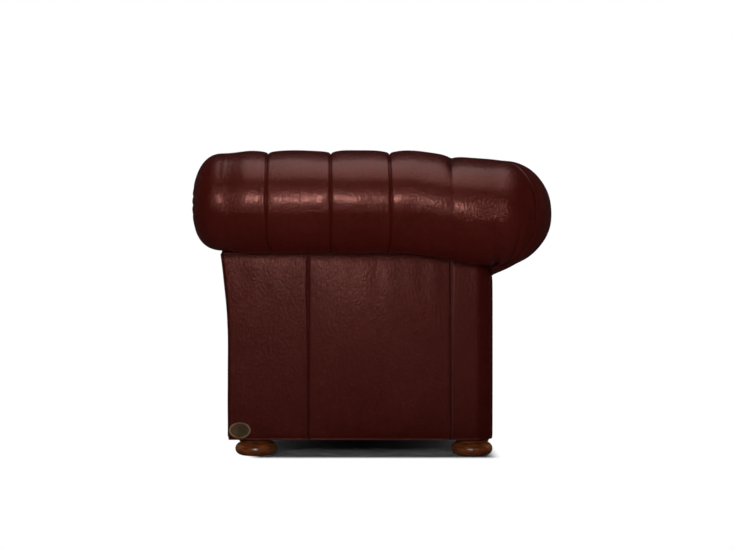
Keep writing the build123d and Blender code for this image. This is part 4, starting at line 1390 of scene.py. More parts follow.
# ---------------------------------------------------------------- flat outer leather
@dataclass
class SidePanels:
    """The outer side: three sewn panels that wrap the front edge and the rounded rear corner."""

    seams: tuple[float, float] = (-0.163, 0.189)
    front_wrap: float = 0.007
    rear_wrap: float = 0.045
    front_low: float = -0.3605
    flare_start: float = 0.300
    flare: float = 0.018
    flare_height: float = 0.2055
    bulge: float = 0.0040
    front_share: float = 0.35
    pillow: float = 0.0024
    badge_place: tuple[float, float] = (-0.331, 0.071)
    badge_reach: tuple[float, float] = (0.050, 0.040)
    seam_depth: float = 0.0028
    seam_reach: float = 0.0020
    seam_shade: float = 0.0035
    tuck_depth: float = 0.0042
    tuck_reach: float = 0.0085
    tuck_shade: float = 1.7
    edge_height: float = 0.45
    drag: float = 0.0007
    rows: int = 100
    front_points: int = 8
    side_points: int = 300
    corner_points: int = 18
    thickness: float = 0.0035
    stitch_gap: float = 0.0042

    def front(self, z: Points) -> Points:
        """y of the front edge at height z: upright, then leaning forward towards the roll."""
        reach = np.clip((z - self.flare_start) / self.flare_height, 0.0, 1.6)
        return self.front_low - self.flare * reach**1.6

    def top(self, y: Points) -> Points:
        """Height of the top edge, just under the roll, and lower round the rear corner.

        Args:
            y: where each point is.

        Returns:
            Heights.
        """
        drop = (FORM.arm_drop + FORM.corner_radius - FORM.arm_radius) * FORM.fall(y)
        level = FORM.arm_z - FORM.arm_radius + 0.004 - drop
        corner = FORM.panel_back - self.rear_wrap
        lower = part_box("outer_back_leather")[1][2] + FORM.corner_lap
        share = ease((y - corner) / self.rear_wrap * 5.0 - 4.0)
        return between(level, np.minimum(level, lower), share)

    def surface(self) -> tuple[Points, Points, Points]:
        """The outer grid, its outward normals, and the painted shade in its seams and under the
        roll.

        A row's path is a quarter turn on the front edge, a straight side and a quarter turn at the
        rear corner. The leather rises by a share of the bulge behind the front edge, as
        1 - (1 - t)^5, and by the rest behind the first seam, as 1 - (1 - t)^6, with a flat pillow
        on the middle panel. It falls back as t^2 over the rear panel. All this fades at the top and
        bottom edges and round the badge. The leather is pinched at the seams and tucked in under
        the roll.

        Returns:
            Points, normals, and painted shade for the seams and the strip under the roll.
        """
        height = np.linspace(0.0, 1.0, self.rows)[:, None]
        corner = FORM.panel_back - self.rear_wrap
        turn = np.linspace(-np.pi / 2, 0.0, self.front_points, endpoint=False)[None]
        rough_z = between(FORM.panel_bottom, FORM.arm_z - FORM.arm_radius, height)
        front = self.front(rough_z)
        x_wrap = FORM.panel_x - self.front_wrap + self.front_wrap * np.cos(turn) + 0 * front
        y_wrap = front + self.front_wrap + self.front_wrap * np.sin(turn)
        along = np.linspace(0.0, 1.0, self.side_points)[None]
        y_side = between(front + self.front_wrap, corner, along)
        arc = np.linspace(0.0, np.pi / 2, self.corner_points + 1)[None, 1:] + 0 * front
        x_arc = FORM.panel_x - self.rear_wrap + self.rear_wrap * np.cos(arc)
        y_arc = corner + self.rear_wrap * np.sin(arc)
        x = np.concatenate([x_wrap, FORM.panel_x + 0 * y_side, x_arc], axis=1)
        y = np.concatenate([y_wrap, y_side, y_arc], axis=1)
        path = np.concatenate([y_wrap, y_side, corner + self.rear_wrap * arc], axis=1)
        z = between(FORM.panel_bottom, self.top(y), height)
        base = np.stack([x, y, z], axis=-1)
        normal = grid_normals(base, False)
        normal *= np.sign(normal[self.rows // 2, self.side_points // 2, 0])
        edges = (self.front_low - 0.01, *self.seams, corner + self.rear_wrap * np.pi / 2)
        front_t, middle_t, rear_t = (np.clip((path - start) / (end - start), 0.0, 1.0)
                                     for start, end in zip(edges, edges[1:]))
        first, rest = 1.0 - (1.0 - front_t) ** 5.0, 1.0 - (1.0 - middle_t) ** 6.0
        share = self.front_share
        out = self.bulge * (share * first + (1.0 - share) * rest - rear_t**2.0)
        out += self.pillow * (1.0 - np.abs(2 * middle_t - 1) ** 2.5)
        out *= 1.0 - np.abs(2 * height - 1) ** 2.2
        near = (((path - self.badge_place[0]) / self.badge_reach[0]) ** 2
                + ((z - self.badge_place[1]) / self.badge_reach[1]) ** 2)
        out *= 1.0 - np.exp(-(near**2))
        depth = np.zeros(path.shape)
        for seam in self.seams:
            depth += valley(np.abs(path - seam), self.seam_depth, self.seam_reach, LINE_ROUND)
        below_top = (1 - height) * self.edge_height
        tuck = valley(below_top, self.tuck_depth, self.tuck_reach)
        depth *= 1.0 - tuck / self.tuck_depth
        ends = valley(height * (z[-1:] - z[:1]), 0.0010, 0.004) + tuck
        drag = ripple(path, z * 0.35, seed=23, waves=6, pitch=0.05) * ease((z - 0.28) / 0.2)
        moved = out - depth - ends + self.drag * drag
        points = base + normal * moved[..., None]
        # painted shade in the seams, and a painted shadow on the top strip under the roll
        hollow = depth / self.seam_shade + self.tuck_shade * tuck / self.tuck_depth
        return points, normal, np.clip(hollow, 0.0, 1.0)

    def stitch_lines(self, points: Points, normal: Points) -> list[Points]:
        """Rows of stitches beside each seam, as points on the leather.

        Args:
            points: the outer grid.
            normal: its outward normals.

        Returns:
            One column of points for each row of stitches.
        """
        first, second = self.seams
        lines = []
        for place in (first - self.stitch_gap, second - self.stitch_gap, second + self.stitch_gap):
            middle_row = points[self.rows // 2, self.front_points:][:self.side_points, 1]
            column = self.front_points + int(np.argmin(np.abs(middle_row - place)))
            lines.append(points[:, column] + normal[:, column] * STITCH_LIFT)
        return lines

    def build(self) -> None:
        """Makes both sides and their rows of stitches."""
        points, normal, depth = self.surface()
        lines = self.stitch_lines(points, normal)
        for side, mirror in SIDES.items():
            inward = -normal * mirror * self.thickness
            piece = skin_piece(f"side_panels_{side}", points * mirror, inward,
                               FINISHES.get(Finish.PANEL), depth)
            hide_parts(f"outer_side_leather_{side}")
            for number, line in enumerate(lines):
                stitch_row(f"side_stitches_{side}_{number}", line * mirror,
                           mirror * [1.0, 0.0, 0.0])
            report(piece)


def stitch_row(name: str, path: Points, out: Points, pitch: float = 0.0046,
               length: float = 0.0034, radius: float = 0.0005) -> bpy.types.Object:
    """Sews a row of stitches along a path: short six-sided spindles laid end to end.

    Args:
        name: the piece's name.
        path: points along the row.
        out: the direction that the stitches stand out in.
        pitch: distance from stitch to stitch.
        length: one stitch's length.
        radius: half its thickness.

    Returns:
        The stitches as one object, which rides on the chair.
    """
    steps = np.linalg.norm(np.diff(path, axis=0), axis=1)
    run = np.concatenate([[0.0], np.cumsum(steps)])
    middles = np.arange(pitch, run[-1] - pitch / 2, pitch)
    places, ahead = (np.stack([np.interp(spots, run, path[:, k]) for k in range(3)], axis=-1)
                     for spots in (middles, middles + pitch / 4))
    along = ahead - places
    along /= np.linalg.norm(along, axis=1, keepdims=True)
    across = np.cross(along, np.broadcast_to(out, along.shape))
    across /= np.linalg.norm(across, axis=1, keepdims=True)
    upward = np.cross(across, along)
    sides = 6
    angle = np.linspace(0, 2 * np.pi, sides, endpoint=False)
    ring = np.stack([0 * angle, np.cos(angle), np.sin(angle)], axis=-1) * radius
    tip, quarter, rise = [length / 2, 0, 0], length / 4, radius * 0.4
    spindle = np.concatenate([ring * 0.55 - tip, ring + [-quarter, 0, rise],
                              ring + [quarter, 0, rise], ring * 0.55 + tip,
                              [np.negative(tip), tip]])
    count = 4 * sides
    caps = np.concatenate([fan(count, np.arange(sides), False),
                           fan(count + 1, np.arange(count - sides, count), True)])
    turns = np.stack([along, across, upward], axis=-1)
    points, quad_faces = copies(spindle, quads(4, sides, True), turns, places)
    _, cap_faces = copies(spindle, caps, turns, places)
    piece = make_piece(name, points, [quad_faces, cap_faces], FINISHES.get(Finish.THREAD))
    return piece


@dataclass
class BackPanels:
    """The outer back: three sewn panels between the two rear corners."""

    seams: tuple[float, ...] = (-0.3565, -0.165, 0.165, 0.3565)
    lap: float = 0.0035
    lap_start: float = 0.334
    bulge: float = 0.0045
    seam_depth: float = 0.0028
    seam_reach: float = 0.004
    seam_shade: float = 0.003
    drag: float = 0.0006
    rows: int = 90
    columns: int = 240
    thickness: float = 0.0035
    stitch_gap: float = 0.0042

    def build(self) -> None:
        """Makes the panels as one grid of pillows: bulge * (1 - |2t - 1|^3) across each panel.

        Their top edge rises towards both corners, so that no frame shows under the rounded corners.
        """
        low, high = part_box("outer_back_leather")
        x = np.linspace(self.seams[0], self.seams[-1], self.columns)[None]
        height = np.linspace(0.0, 1.0, self.rows)[:, None]
        near = ease((np.abs(x) - self.lap_start) / (self.seams[-1] - self.lap_start))
        top = high[2] + self.lap + (FORM.corner_lap - self.lap) * near
        z = between(low[2], top, height)
        out = np.zeros((self.rows, self.columns))
        for start, end in zip(self.seams, self.seams[1:]):
            share = (x - start) / (end - start)
            out += self.bulge * (1 - np.abs(2 * share - 1) ** 3) * ((x >= start) & (x < end))
        out *= 1.0 - np.abs(2 * height - 1) ** 6
        depth = np.zeros(out.shape)
        for seam in self.seams:
            depth += valley(np.abs(x - seam), self.seam_depth, self.seam_reach, soft=0.0006)
        ends = valley(z - low[2], 0.0022, 0.004) + valley(top - z, 0.0015, 0.005)
        drag = self.drag * ripple(x, z * 0.35, seed=29, waves=6, pitch=0.06)
        y = high[1] + out - depth - ends + drag
        points = np.stack([x + 0 * y, y, z + 0 * y], axis=-1)
        # the seam depths are also painted as shade in the seams
        piece = skin_piece("back_panels", points, np.array([0.0, -self.thickness, 0.0]),
                           FINISHES.get(Finish.COVER),
                           np.clip(depth / self.seam_shade, 0.0, 1.0))
        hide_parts("outer_back_leather")
        for number, seam in enumerate(self.seams):
            for label, side in (("a", -self.stitch_gap), ("b", self.stitch_gap)):
                if abs(seam + side) <= self.seams[-1]:
                    column = int(np.argmin(np.abs(x[0] - seam - side)))
                    stitch_row(f"back_stitches_{number}_{label}",
                               points[:, column] + [0, STITCH_LIFT, 0], np.array([0.0, 1.0, 0.0]))
        report(piece)


@dataclass
class FrontPanels:
    """The padded front of each arm, from its foot to the underside of the roll."""

    side: SidePanels
    gap: float = 0.0005
    tip_z: float = 0.585
    pad: float = 0.0050
    edge: float = 0.010
    shade_reach: float = 0.006
    uneven: float = 0.0006
    full_width: float = 0.138
    rows: int = 150
    columns: int = 44
    welt_radius: float = 0.0032
    welt_shift: tuple[float, float] = (0.0010, 0.0015)

    def inner_edge(self, z: Points) -> Points:
        """x of the edge beside the seat at height z."""
        return np.where(z > FORM.slab_bottom, FORM.arm_face(z), FORM.arm_inner_low) + self.gap

    def outer_edge(self, z: Points) -> Points:
        """x of the edge beside the side panel, and above it of the edge under the roll."""
        reach = FORM.arm_radius + self.gap
        under = np.clip(z - (FORM.arm_z - reach), 0.0, None)
        curve = FORM.roll_x - np.sqrt(np.clip(2 * reach * under - under**2, 0.0, None))
        return np.minimum(FORM.panel_x - self.side.front_wrap, curve - 0.001)

    def surface(self) -> tuple[Points, Points]:
        """The outer grid of the left panel and the painted shade along its edges.

        Across the panel the pad stands out by pad * (1 - |2t - 1|^4), and its edges roll back.

        Returns:
            Points, and painted shade from 0 to 1.
        """
        rise = np.linspace(0.0, 1.0, self.rows)[:, None] ** 0.92
        z = between(FORM.panel_bottom, self.tip_z, rise)
        share = 0.5 - 0.5 * np.cos(np.pi * np.linspace(0.0, 1.0, self.columns)[None])
        inner, outer = self.inner_edge(z), self.outer_edge(z)
        x = between(inner, outer, share)
        near = np.minimum(np.minimum(x - inner, outer - x), z - FORM.panel_bottom)
        short = 1.0 - np.clip(near / self.edge, 0, 1)
        rolled = self.edge * (1.0 - np.sqrt(np.clip(1.0 - short**2, 0, 1)))
        width = np.clip((outer - inner) / self.full_width, 0.0, 1.0)
        stand = self.pad * width * (1.0 - np.abs(2 * share - 1) ** 4)
        uneven = self.uneven * ripple(x, z, seed=31, waves=5, pitch=0.08)
        y = self.side.front(z) - stand + rolled * 0.75 + uneven
        # painted shade along the panel's edges, fading over shade_reach
        shade = np.clip(1.0 - near / self.shade_reach, 0.0, 1.0)
        return np.stack([x, y, z + 0 * x], axis=-1), shade

    def build(self) -> None:
        """Makes both panels and the welt round each."""
        points, depth = self.surface()
        inward = np.zeros_like(points)
        inward[..., 1] = FORM.former_front - FRONT_GAP - points[..., 1]
        out, back = self.welt_shift
        lines = {"outer": points[3:-2, -1] + [out, back, 0.0],
                 "inner": points[3:-2, 0] + [-out, back, 0.0]}
        for side, mirror in SIDES.items():
            piece = skin_piece(f"arm_front_{side}", points * mirror, inward * mirror,
                               FINISHES.get(Finish.COVER), depth)
            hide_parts(f"arm_front_panel_{side}")
            for label, line in lines.items():
                welt = tube_piece(f"arm_front_welt_{label}_{side}", line * mirror,
                                  self.welt_radius, FINISHES.get(Finish.WELT))
            report(piece)


@dataclass
class FrontBorder:
    """The padded border under the cushion, with its lip over the spring rail."""

    face: float = -0.362
    pad: float = 0.006
    rows: int = 90
    columns: int = 200
    round_over: float = 0.014
    edge_drop: float = 0.006
    edge_reach: float = 0.008
    shade_reach: float = 0.006
    uneven: float = 0.0008
    thickness: float = 0.0105
    welt_radius: float = 0.0030

    def build(self) -> None:
        """Makes the border: a profile up the front and back over the lip, carried along X.

        The profile is a straight rise, a quarter turn and a flat lip. The pad stands out from it by
        pad * (1 - |2s - 1|^8)(1 - |2h - 1|^5), and its ends roll back as a square.
        """
        low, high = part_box("front_border")
        top, back = high[2], high[1]
        radius = self.round_over
        rise = top - radius - low[2]
        quarter = radius * np.pi / 2
        flat = back - (self.face + radius)
        run = np.linspace(0.0, rise + quarter + flat, self.rows)[:, None]
        on_arc = np.clip((run - rise) / quarter, 0.0, 1.0) * np.pi / 2
        y = np.where(run < rise, self.face, self.face + radius - radius * np.cos(on_arc))
        y = np.where(run > rise + quarter, self.face + radius + (run - rise - quarter), y)
        z = np.where(run < rise, low[2] + run, top - radius + radius * np.sin(on_arc))
        x = np.linspace(low[0], high[0], self.columns)[None]
        out_y, out_z = -np.cos(on_arc), np.sin(on_arc)
        share = (x - low[0]) / (high[0] - low[0])
        height = np.clip(run / (rise + quarter * 0.5), 0.0, 1.0)
        stand = self.pad * (1 - np.abs(2 * share - 1) ** 8) * (1 - np.abs(2 * height - 1) ** 5)
        edge = np.minimum(share, 1 - share) * (high[0] - low[0])
        rolled = self.edge_drop * (1.0 - np.clip(edge / self.edge_reach, 0, 1)) ** 2
        uneven = self.uneven * ripple(x, run, seed=37, waves=5, pitch=0.10)
        stand = stand - rolled + uneven * (run < rise)
        sunk = np.minimum(stand, 0.0)
        points = np.stack([x + 0 * run, y + out_y * stand, z + out_z * sunk], axis=-1)
        outward = np.stack([0 * stand, out_y + 0 * stand, out_z + 0 * stand], axis=-1)
        inward = -outward * self.thickness
        # painted shade towards both ends of the border, fading over shade_reach
        piece = skin_piece("front_border_pad", points, inward, FINISHES.get(Finish.COVER),
                           np.clip(1.0 - edge / self.shade_reach, 0, 1) + 0 * run)
        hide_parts("front_border")
        flat_line = 0 * x[0]
        line = np.stack([x[0], flat_line + self.face - 0.001, flat_line + low[2] + 0.004], axis=-1)
        welt = tube_piece("front_border_welt", line[2:-2], self.welt_radius,
                          FINISHES.get(Finish.WELT))
        report(piece)


# ---------------------------------------------------------------- seat
@dataclass
class SeatCushion:
    """The loose boxed cushion: leather panels, boxing and welts, blown up by a cloth simulation."""

    corner: float = 0.034
    start_inset: float = 0.004
    cell: float = 0.0105
    crown: float = 0.008
    pressure: float = 4.0
    stiffness: float = 40.0
    bending: float = 2.0
    quality: int = 6
    frames: int = 20
    cap: float = 0.022
    levels: int = 12
    firm_share: float = 0.9
    soft_share: float = 0.1
    welt_radius: float = 0.0038
    welt_out: float = 0.0016

    def plan(self, u: Points, v: Points, half_x: float, half_y: float) -> tuple[Points, Points]:
        """A rounded rectangle from a square: its corner squares are bent into quarter discs.

        Args:
            u: -1 to 1 across the square.
            v: -1 to 1 along it.
            half_x: half the rectangle's width.
            half_y: half its depth.

        Returns:
            x and y from the rectangle's middle.
        """
        x, y = u * half_x, v * half_y
        a = np.clip((np.abs(x) - half_x + self.corner) / self.corner, 0.0, 1.0)
        b = np.clip((np.abs(y) - half_y + self.corner) / self.corner, 0.0, 1.0)
        bent_a, bent_b = a * np.sqrt(1 - b**2 / 2), b * np.sqrt(1 - a**2 / 2)
        in_corner = (a > 0) & (b > 0)
        x = np.where(in_corner, np.sign(x) * (half_x - self.corner + self.corner * bent_a), x)
        y = np.where(in_corner, np.sign(y) * (half_y - self.corner + self.corner * bent_b), y)
        return x, y

    def slab(self) -> tuple[Points, list[Points], Points]:
        """The cushion before it is blown up: a top grid, boxing rows and a bottom grid.

        The top falls by 1 - (1 - |u|^2.5)(1 - |v|^2.5) of the crown towards its edges.

        Returns:
            Points, faces, and the boxing's vertex numbers, one row for each level, top first.
        """
        low, high = np.array(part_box("cushion_core"))
        middle, half = (low + high) / 2, (high - low) / 2 - [self.start_inset, self.start_inset, 0]
        columns, rows = (int(2 * reach / self.cell) // 2 * 2 + 1 for reach in half[:2])
        u, v = np.meshgrid(np.linspace(-1, 1, columns), np.linspace(-1, 1, rows), indexing="xy")
        x, y = self.plan(u, v, half[0], half[1])
        fall = 1.0 - (1 - np.abs(u) ** 2.5) * (1 - np.abs(v) ** 2.5)
        floor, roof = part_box("cushion_bottom_panel")[0][2] + 0.003, high[2] - 0.001
        top, bottom = (np.stack([x + middle[0], y + middle[1], z], axis=-1).reshape(-1, 3)
                       for z in (roof - self.crown * fall, floor + 0 * fall))
        index = np.arange(rows * columns).reshape(rows, columns)
        rim = np.concatenate([index[0, :-1], index[:-1, -1], index[-1, :0:-1], index[:0:-1, 0]])
        share = np.linspace(0.0, 1.0, self.levels + 1)[1:-1, None, None]
        wall = between(top[rim][None], bottom[rim][None], share).reshape(-1, 3)
        points = np.concatenate([top, wall, bottom])
        wall_rows = (len(top) + np.arange(len(wall))).reshape(-1, len(rim))
        below = len(top) + len(wall)
        belts = np.concatenate([rim[None], wall_rows, below + rim[None]])
        beside = np.roll(belts, -1, axis=1)
        boxing = np.stack([belts[:-1], belts[1:], beside[1:], beside[:-1]], axis=-1)
        grid = quads(rows, columns, False)
        faces = [np.concatenate([grid, boxing.reshape(-1, 4), grid[:, ::-1] + below])]
        return points, faces, belts

    def blown(self, piece: bpy.types.Object) -> Points:
        """Runs the cloth simulation with air pressure and no gravity, and returns the points.

        Args:
            piece: the slab.

        Returns:
            Its points after the last frame, moved by no more than the cap.
        """
        rest = places_of(piece.data)
        cloth = piece.modifiers.new("air", "CLOTH")
        settings = cloth.settings
        settings.use_pressure = True
        settings.uniform_pressure_force = self.pressure
        settings.effector_weights.gravity = 0.0
        settings.tension_stiffness = settings.compression_stiffness = self.stiffness
        settings.bending_stiffness = self.bending
        settings.quality = self.quality
        cloth.collision_settings.use_collision = False
        scene = bpy.context.scene
        for step in range(1, self.frames + 1):
            scene.frame_set(step)
        evaluated = piece.evaluated_get(bpy.context.evaluated_depsgraph_get())
        moved = places_of(evaluated.data) - rest
        piece.modifiers.remove(cloth)
        scene.frame_set(1)
        length = np.linalg.norm(moved, axis=1, keepdims=True)
        return rest + moved * np.minimum(1.0, self.cap / np.maximum(length, 1e-9))

    def settle(self, points: Points) -> Points:
        """Keeps the blown cushion on its deck, between the arms and below its crown.

        Along each axis, places past the firm share of the room are drawn in as a tanh.

        Args:
            points: the blown points.

        Returns:
            The settled points.
        """
        low, high = np.array(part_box("cushion_bottom_panel"))
        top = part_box("cushion_top_panel")[1][2] + 0.003
        firm, soft = self.firm_share, self.soft_share
        settled = points.copy()
        rooms = ((low[0], high[0]), (low[1] - 0.004, high[1]), (low[2], top))
        for axis, (floor, roof) in enumerate(rooms):
            middle, half = (floor + roof) / 2, (roof - floor) / 2
            share = (settled[:, axis] - middle) / half
            eased = np.sign(share) * (firm + soft * np.tanh((np.abs(share) - firm) / soft))
            settled[:, axis] = np.where(np.abs(share) > firm, middle + half * eased,
                                        settled[:, axis])
        return settled

    def build(self) -> None:
        """Makes the cushion and its two welts."""
        points, faces, belts = self.slab()
        piece = make_piece("cushion", points, faces, FINISHES.get(Finish.CUSHION), CUSHION)
        points = self.blown(piece)
        points = self.settle(points)
        seams = (points[belts[1]], points[belts[-2]])
        # painted shade: full along the welt seams and 0.4 on the top and bottom rims
        pull = np.zeros(len(points))
        pull[belts[1]], pull[belts[-2]] = 1.0, 1.0
        pull[belts[0]], pull[belts[-1]] = 0.4, 0.4
        place_points(piece.data, points)
        mark_points(piece.data, "hollow", pull)
        piece.data.update()
        smooth = piece.modifiers.new("smooth", "SUBSURF")
        smooth.levels = smooth.render_levels = 1
        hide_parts("cushion_core", "cushion_boxing", "cushion_top_panel",
                    "cushion_bottom_panel")
        centre = points.mean(axis=0)
        for label, line in zip(("top", "bottom"), seams):
            aside = line - centre
            aside[:, 2] = 0.0
            aside /= np.linalg.norm(aside, axis=1, keepdims=True)
            welt = tube_piece(f"cushion_welt_{label}", line + aside * self.welt_out,
                              self.welt_radius, FINISHES.get(Finish.WELT), True, CUSHION)
        report(piece)


@dataclass
class SeatDeck:
    """The quilted platform under the cushion."""

    quilt: float = 0.055
    puff: float = 0.004
    rows: int = 110
    columns: int = 130

    def build(self) -> None:
        """Makes the deck: a slab whose top rises between lines of quilting, as |sin sin|^0.5."""
        low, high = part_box("seat_deck")
        x = np.linspace(low[0], high[0], self.columns)[None]
        y = np.linspace(low[1], high[1], self.rows)[:, None]
        turn = np.pi / self.quilt
        waves = np.abs(np.sin(turn * (x + y)) * np.sin(turn * (x - y)))
        z = high[2] - self.puff + self.puff * 0.9 * np.sqrt(waves)
        points = np.stack([x + 0 * y, y + 0 * x, z], axis=-1)
        inward = np.zeros_like(points)
        inward[..., 2] = low[2] - points[..., 2]
        piece = skin_piece("seat_deck_pad", points, inward, FINISHES.get(Finish.DECK_CLOTH))
        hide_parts("seat_deck")
        report(piece)


@dataclass
class DustCloth:
    """The black cloth stapled under the frame."""

    sag: float = 0.003
    columns: int = 90
    rows: int = 80
    thickness: float = 0.0006
    corner: float = 0.045
    pucker: float = 0.0012

    def build(self) -> None:
        """Makes the cloth: it sags by sag * (1 - u^2)(1 - v^2) inside its stapled edges."""
        low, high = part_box("dust_cloth")
        u = np.linspace(-1, 1, self.columns)[None]
        v = np.linspace(-1, 1, self.rows)[:, None]
        middle_y, half_y, half_x = (low[1] + high[1]) / 2, (high[1] - low[1]) / 2, high[0]
        pull = self.pucker * (np.sin(v * 40.0) * np.abs(u) ** 6 + np.sin(u * 44.0) * np.abs(v) ** 6)
        top = high[2] - 0.0003
        z = top - self.thickness - self.sag * (1 - u**2) * (1 - v**2) - np.abs(pull) * 0.2
        rear = np.clip((v * half_y - half_y + self.corner) / self.corner, 0.0, 1.0)
        narrow = half_x - self.corner + self.corner * np.sqrt(1.0 - rear**2)
        points = np.stack([u * narrow, middle_y + v * half_y + 0 * u, z], axis=-1)
        piece = skin_piece("dust_cover", points, np.array([0.0, 0.0, self.thickness]),
                           FINISHES.get(Finish.DUST_CLOTH))
        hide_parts("dust_cloth")
        report(piece)


# ---------------------------------------------------------------- fittings
FITTINGS: dict[Finish, tuple[str, ...]] = {
    Finish.BUTTON: ("arm_buttons", "back_buttons", "rosettes"),
    Finish.FEET: ("foot_front_left", "foot_front_right", "foot_rear_left", "foot_rear_right"),
    Finish.BEECH: ("arm_tacking_rails", "arm_top_rails", "arm_tuck_rails", "back_formers",
                   "back_seat_rail", "back_spring_rail", "back_tacking_rail", "back_top_rail",
                   "back_tuck_rail", "corner_blocks", "front_arm_former_left",
                   "front_arm_former_right", "front_rail_blocks", "front_seat_rail",
                   "front_spring_rail", "mid_arm_formers", "rear_posts", "side_rails"),
    Finish.HARDBOARD: ("inner_arm_boards", "outer_back_board", "outer_side_boards"),
    Finish.SPRING: ("seat_spring_1", "seat_spring_2", "seat_spring_3", "seat_spring_4",
                    "seat_spring_5", "spring_clips"),
    Finish.ZINC: ("hanger_bolts", "tee_nuts", "cushion_zip"),
    Finish.BADGE: ("oval_badge",),
    Finish.BRASS: ("zip_slider",),
    Finish.WEBBING: ("back_webbing",),
    Finish.NYLON: ("foot_glides",),
}


def dress_fittings() -> None:
    """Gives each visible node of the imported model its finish."""
    for finish, nodes in FITTINGS.items():
        for node in nodes:
            piece = bpy.data.objects[node]
            if not piece.material_slots:
                piece.data.materials.append(FINISHES.get(finish))
            for slot in piece.material_slots:
                slot.material = FINISHES.get(finish)
    LOG.info("fittings: %d nodes", sum(len(nodes) for nodes in FITTINGS.values()))


# ---------------------------------------------------------------- studio
@dataclass(frozen=True)
class Lamp:
    """A rectangular light that faces a target, with or without reflections of it."""

    name: str
    place: Colour
    target: Colour
    size: tuple[float, float]
    power: float
    shines: bool = True

    def build(self) -> bpy.types.Object:
        """Adds the light to the scene and returns it."""
        light = bpy.data.lights.new(self.name, "AREA")
        light.shape = "RECTANGLE"
        light.size, light.size_y = self.size
        light.energy = self.power
        lamp = bpy.data.objects.new(self.name, light)
        lamp.location = self.place
        aim = Vector(self.target) - Vector(self.place)
        lamp.rotation_euler = aim.to_track_quat("-Z", "Y").to_euler()
        lamp.visible_glossy, lamp.visible_camera = self.shines, False
        bpy.context.scene.collection.objects.link(lamp)
        return lamp


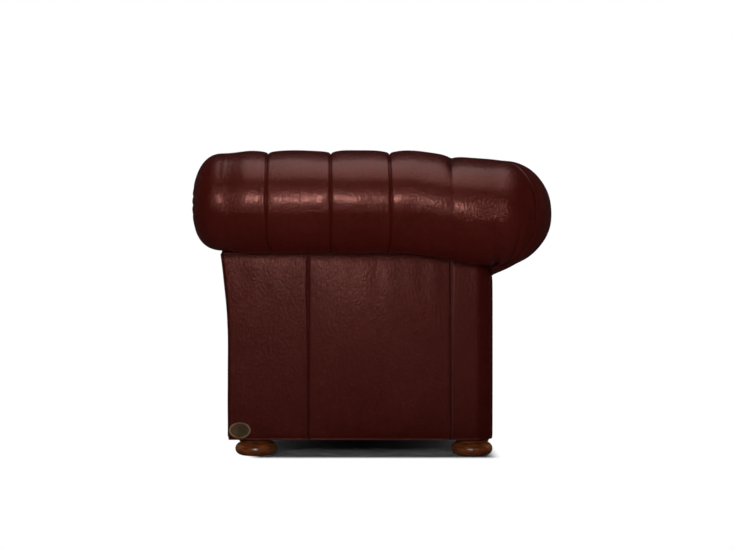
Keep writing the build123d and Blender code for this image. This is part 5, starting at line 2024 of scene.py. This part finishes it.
@dataclass
class Studio:
    """Pale floor and backdrop, soft lights and the camera at the chair's left side.

    The floor is shaded_floor, a grey painted shadow, within shaded_half of the middle, and glows
    white beyond.
    """

    camera_place: Colour = (3.400, -0.019, 0.4535)
    focal_mm: float = 59.8
    sensor_mm: float = 36.0
    sight: float = 100.0
    backdrop_radius: float = 14.0
    rim_points: int = 96
    belts: int = 24
    belt_points: int = 64
    shaded_half: Colour = (0.36, 0.28, 0.0)
    shaded_floor: Colour = (0.25, 0.25, 0.25)
    surround: float = 0.02
    lamps: tuple[Lamp, ...] = (
        Lamp("softbox", (3.0, -0.44, 0.96), (0.45, -0.10, 0.75), (1.20, 0.50), 5.5),
        Lamp("softbox_core", (2.98, -0.30, 0.78), (0.45, -0.10, 0.66), (0.56, 0.26), 18.5),
        Lamp("overhead", (0.9, 0.0, 2.6), (0.4, 0.0, 0.6), (1.6, 2.2), 24.0),
        Lamp("floor_bounce", (1.25, 0.0, 0.02), (1.25, 0.0, 1.0), (1.0, 1.8), 6.0, False),
        Lamp("front_fill", (-1.3, -2.9, 1.2), (0.0, 0.0, 0.4), (2.2, 1.6), 56.0, False),
        Lamp("back_fill", (-1.3, 2.9, 1.2), (0.0, 0.0, 0.4), (2.2, 1.6), 56.0, False),
        Lamp("far_fill", (-3.0, 0.0, 1.0), (0.0, 0.0, 0.4), (2.2, 1.6), 44.0, False),
    )
    wash: Lamp = Lamp("floor_wash", (0.0, 0.0, 4.5), (0.0, 0.0, 0.0), (1.0, 1.0), 300.0)

    def camera(self) -> None:
        """Adds the level camera that looks along -X."""
        lens = bpy.data.cameras.new("camera")
        lens.lens = self.focal_mm
        lens.sensor_width = self.sensor_mm
        lens.clip_end = self.sight
        camera = bpy.data.objects.new("camera", lens)
        camera.location = self.camera_place
        camera.rotation_euler = Vector((-1.0, 0.0, 0.0)).to_track_quat("-Z", "Y").to_euler()
        bpy.context.scene.collection.objects.link(camera)
        bpy.context.scene.camera = camera

    def stage_piece(self, name: str, points: Points, faces: Sequence[Points],
                    finish: bpy.types.Material, unseen_by: Sequence[str]) -> bpy.types.Object:
        """Adds a part of the stage.

        Args:
            name: its name.
            points: an n by 3 array of places.
            faces: arrays of corner numbers.
            finish: its material.
            unseen_by: the kinds of ray that pass it by.

        Returns:
            The new object.
        """
        mesh = bpy.data.meshes.new(name)
        corners = [face for group in faces for face in group.tolist()]
        mesh.from_pydata(points.tolist(), [], corners)
        mesh.materials.append(finish)
        piece = bpy.data.objects.new(name, mesh)
        bpy.context.scene.collection.objects.link(piece)
        for kind in unseen_by:
            setattr(piece, f"visible_{kind}", False)
        return piece

    def floor(self) -> bpy.types.Object:
        """Adds the pale floor: a lit disc, painted shadow grey near the chair, that glows an even
        white beyond.

        Returns:
            The disc.
        """
        turn = np.linspace(0, 2 * np.pi, self.rim_points, endpoint=False)
        rim = np.stack([np.cos(turn), np.sin(turn), 0 * turn], axis=-1) * self.backdrop_radius
        points = np.concatenate([rim, [[0.0, 0.0, 0.0]]])
        faces = fan(self.rim_points, np.arange(self.rim_points), False)
        graph = Graph("pale_floor")
        place = graph.node("ShaderNodeVectorMath", {"operation": "ABSOLUTE"}, {0: graph.place()})
        past = graph.vector("SUBTRACT", place, self.shaded_half)
        far = graph.length(graph.vector("MAXIMUM", past, BLACK)).ramp(0.0, 0.04)
        # painted shadow: the base colour is shaded_floor grey near the chair, black where the floor
        # glows
        finish = graph.finish(Base_Color=graph.mix(far, self.shaded_floor, BLACK), Roughness=0.9,
                              Specular_IOR_Level=0.0, Emission_Color=graph.mix(far, BLACK, WHITE),
                              Emission_Strength=1.0)
        return self.stage_piece("floor", points, [faces], finish, ("diffuse", "glossy"))

    def backdrop(self) -> None:
        """Adds the backdrop: a dome that glows an even white, seen by the camera alone."""
        turn = np.linspace(0, 2 * np.pi, self.belt_points, endpoint=False)[None]
        rise = np.radians(np.linspace(-2.0, 88.0, self.belts))[:, None]
        radius = self.backdrop_radius - 0.2
        rings = np.stack([np.cos(rise) * np.cos(turn), np.cos(rise) * np.sin(turn),
                          np.sin(rise) + 0 * turn], axis=-1) * radius
        points = np.concatenate([rings.reshape(-1, 3), [[0.0, 0.0, radius]]])
        count = self.belts * self.belt_points
        crown = fan(count, np.arange(count - self.belt_points, count), True)
        finish = Graph("white_backdrop").finish(Base_Color=BLACK, Roughness=1.0,
                                                Specular_IOR_Level=0.0, Emission_Color=WHITE,
                                                Emission_Strength=1.0)
        self.stage_piece("backdrop", points, [quads(self.belts, self.belt_points, True), crown],
                         finish, ("diffuse", "glossy", "shadow", "transmission"))

    def world(self) -> None:
        """Sets a faint, even surround."""
        world = bpy.data.worlds.new("surround")
        world.use_nodes = True
        background = world.node_tree.nodes["Background"]
        background.inputs["Color"].default_value = (1.0, 1.0, 1.0, 1.0)
        background.inputs["Strength"].default_value = self.surround
        bpy.context.scene.world = world

    def build(self) -> None:
        """Sets up the whole studio; the wash lights the floor alone."""
        self.camera()
        floor = self.floor()
        self.backdrop()
        self.world()
        for lamp in self.lamps:
            lamp.build()
        wash = self.wash.build()
        lit = bpy.data.collections.new("washed")
        lit.objects.link(floor)
        wash.light_linking.receiver_collection = lit
        bpy.context.scene.view_settings.view_transform = "Standard"


def main() -> None:
    """Builds the studio and every piece in order."""
    logging.basicConfig(level=logging.INFO, format="%(name)s: %(message)s")
    arm, side = ScrollArm(), SidePanels()
    for part in (Studio(), arm, ScrollBack(arm), side, BackPanels(), FrontPanels(side),
                 FrontBorder(), SeatCushion(), SeatDeck(), DustCloth()):
        part.build()
    dress_fittings()


if __name__ == "__main__":
    main()
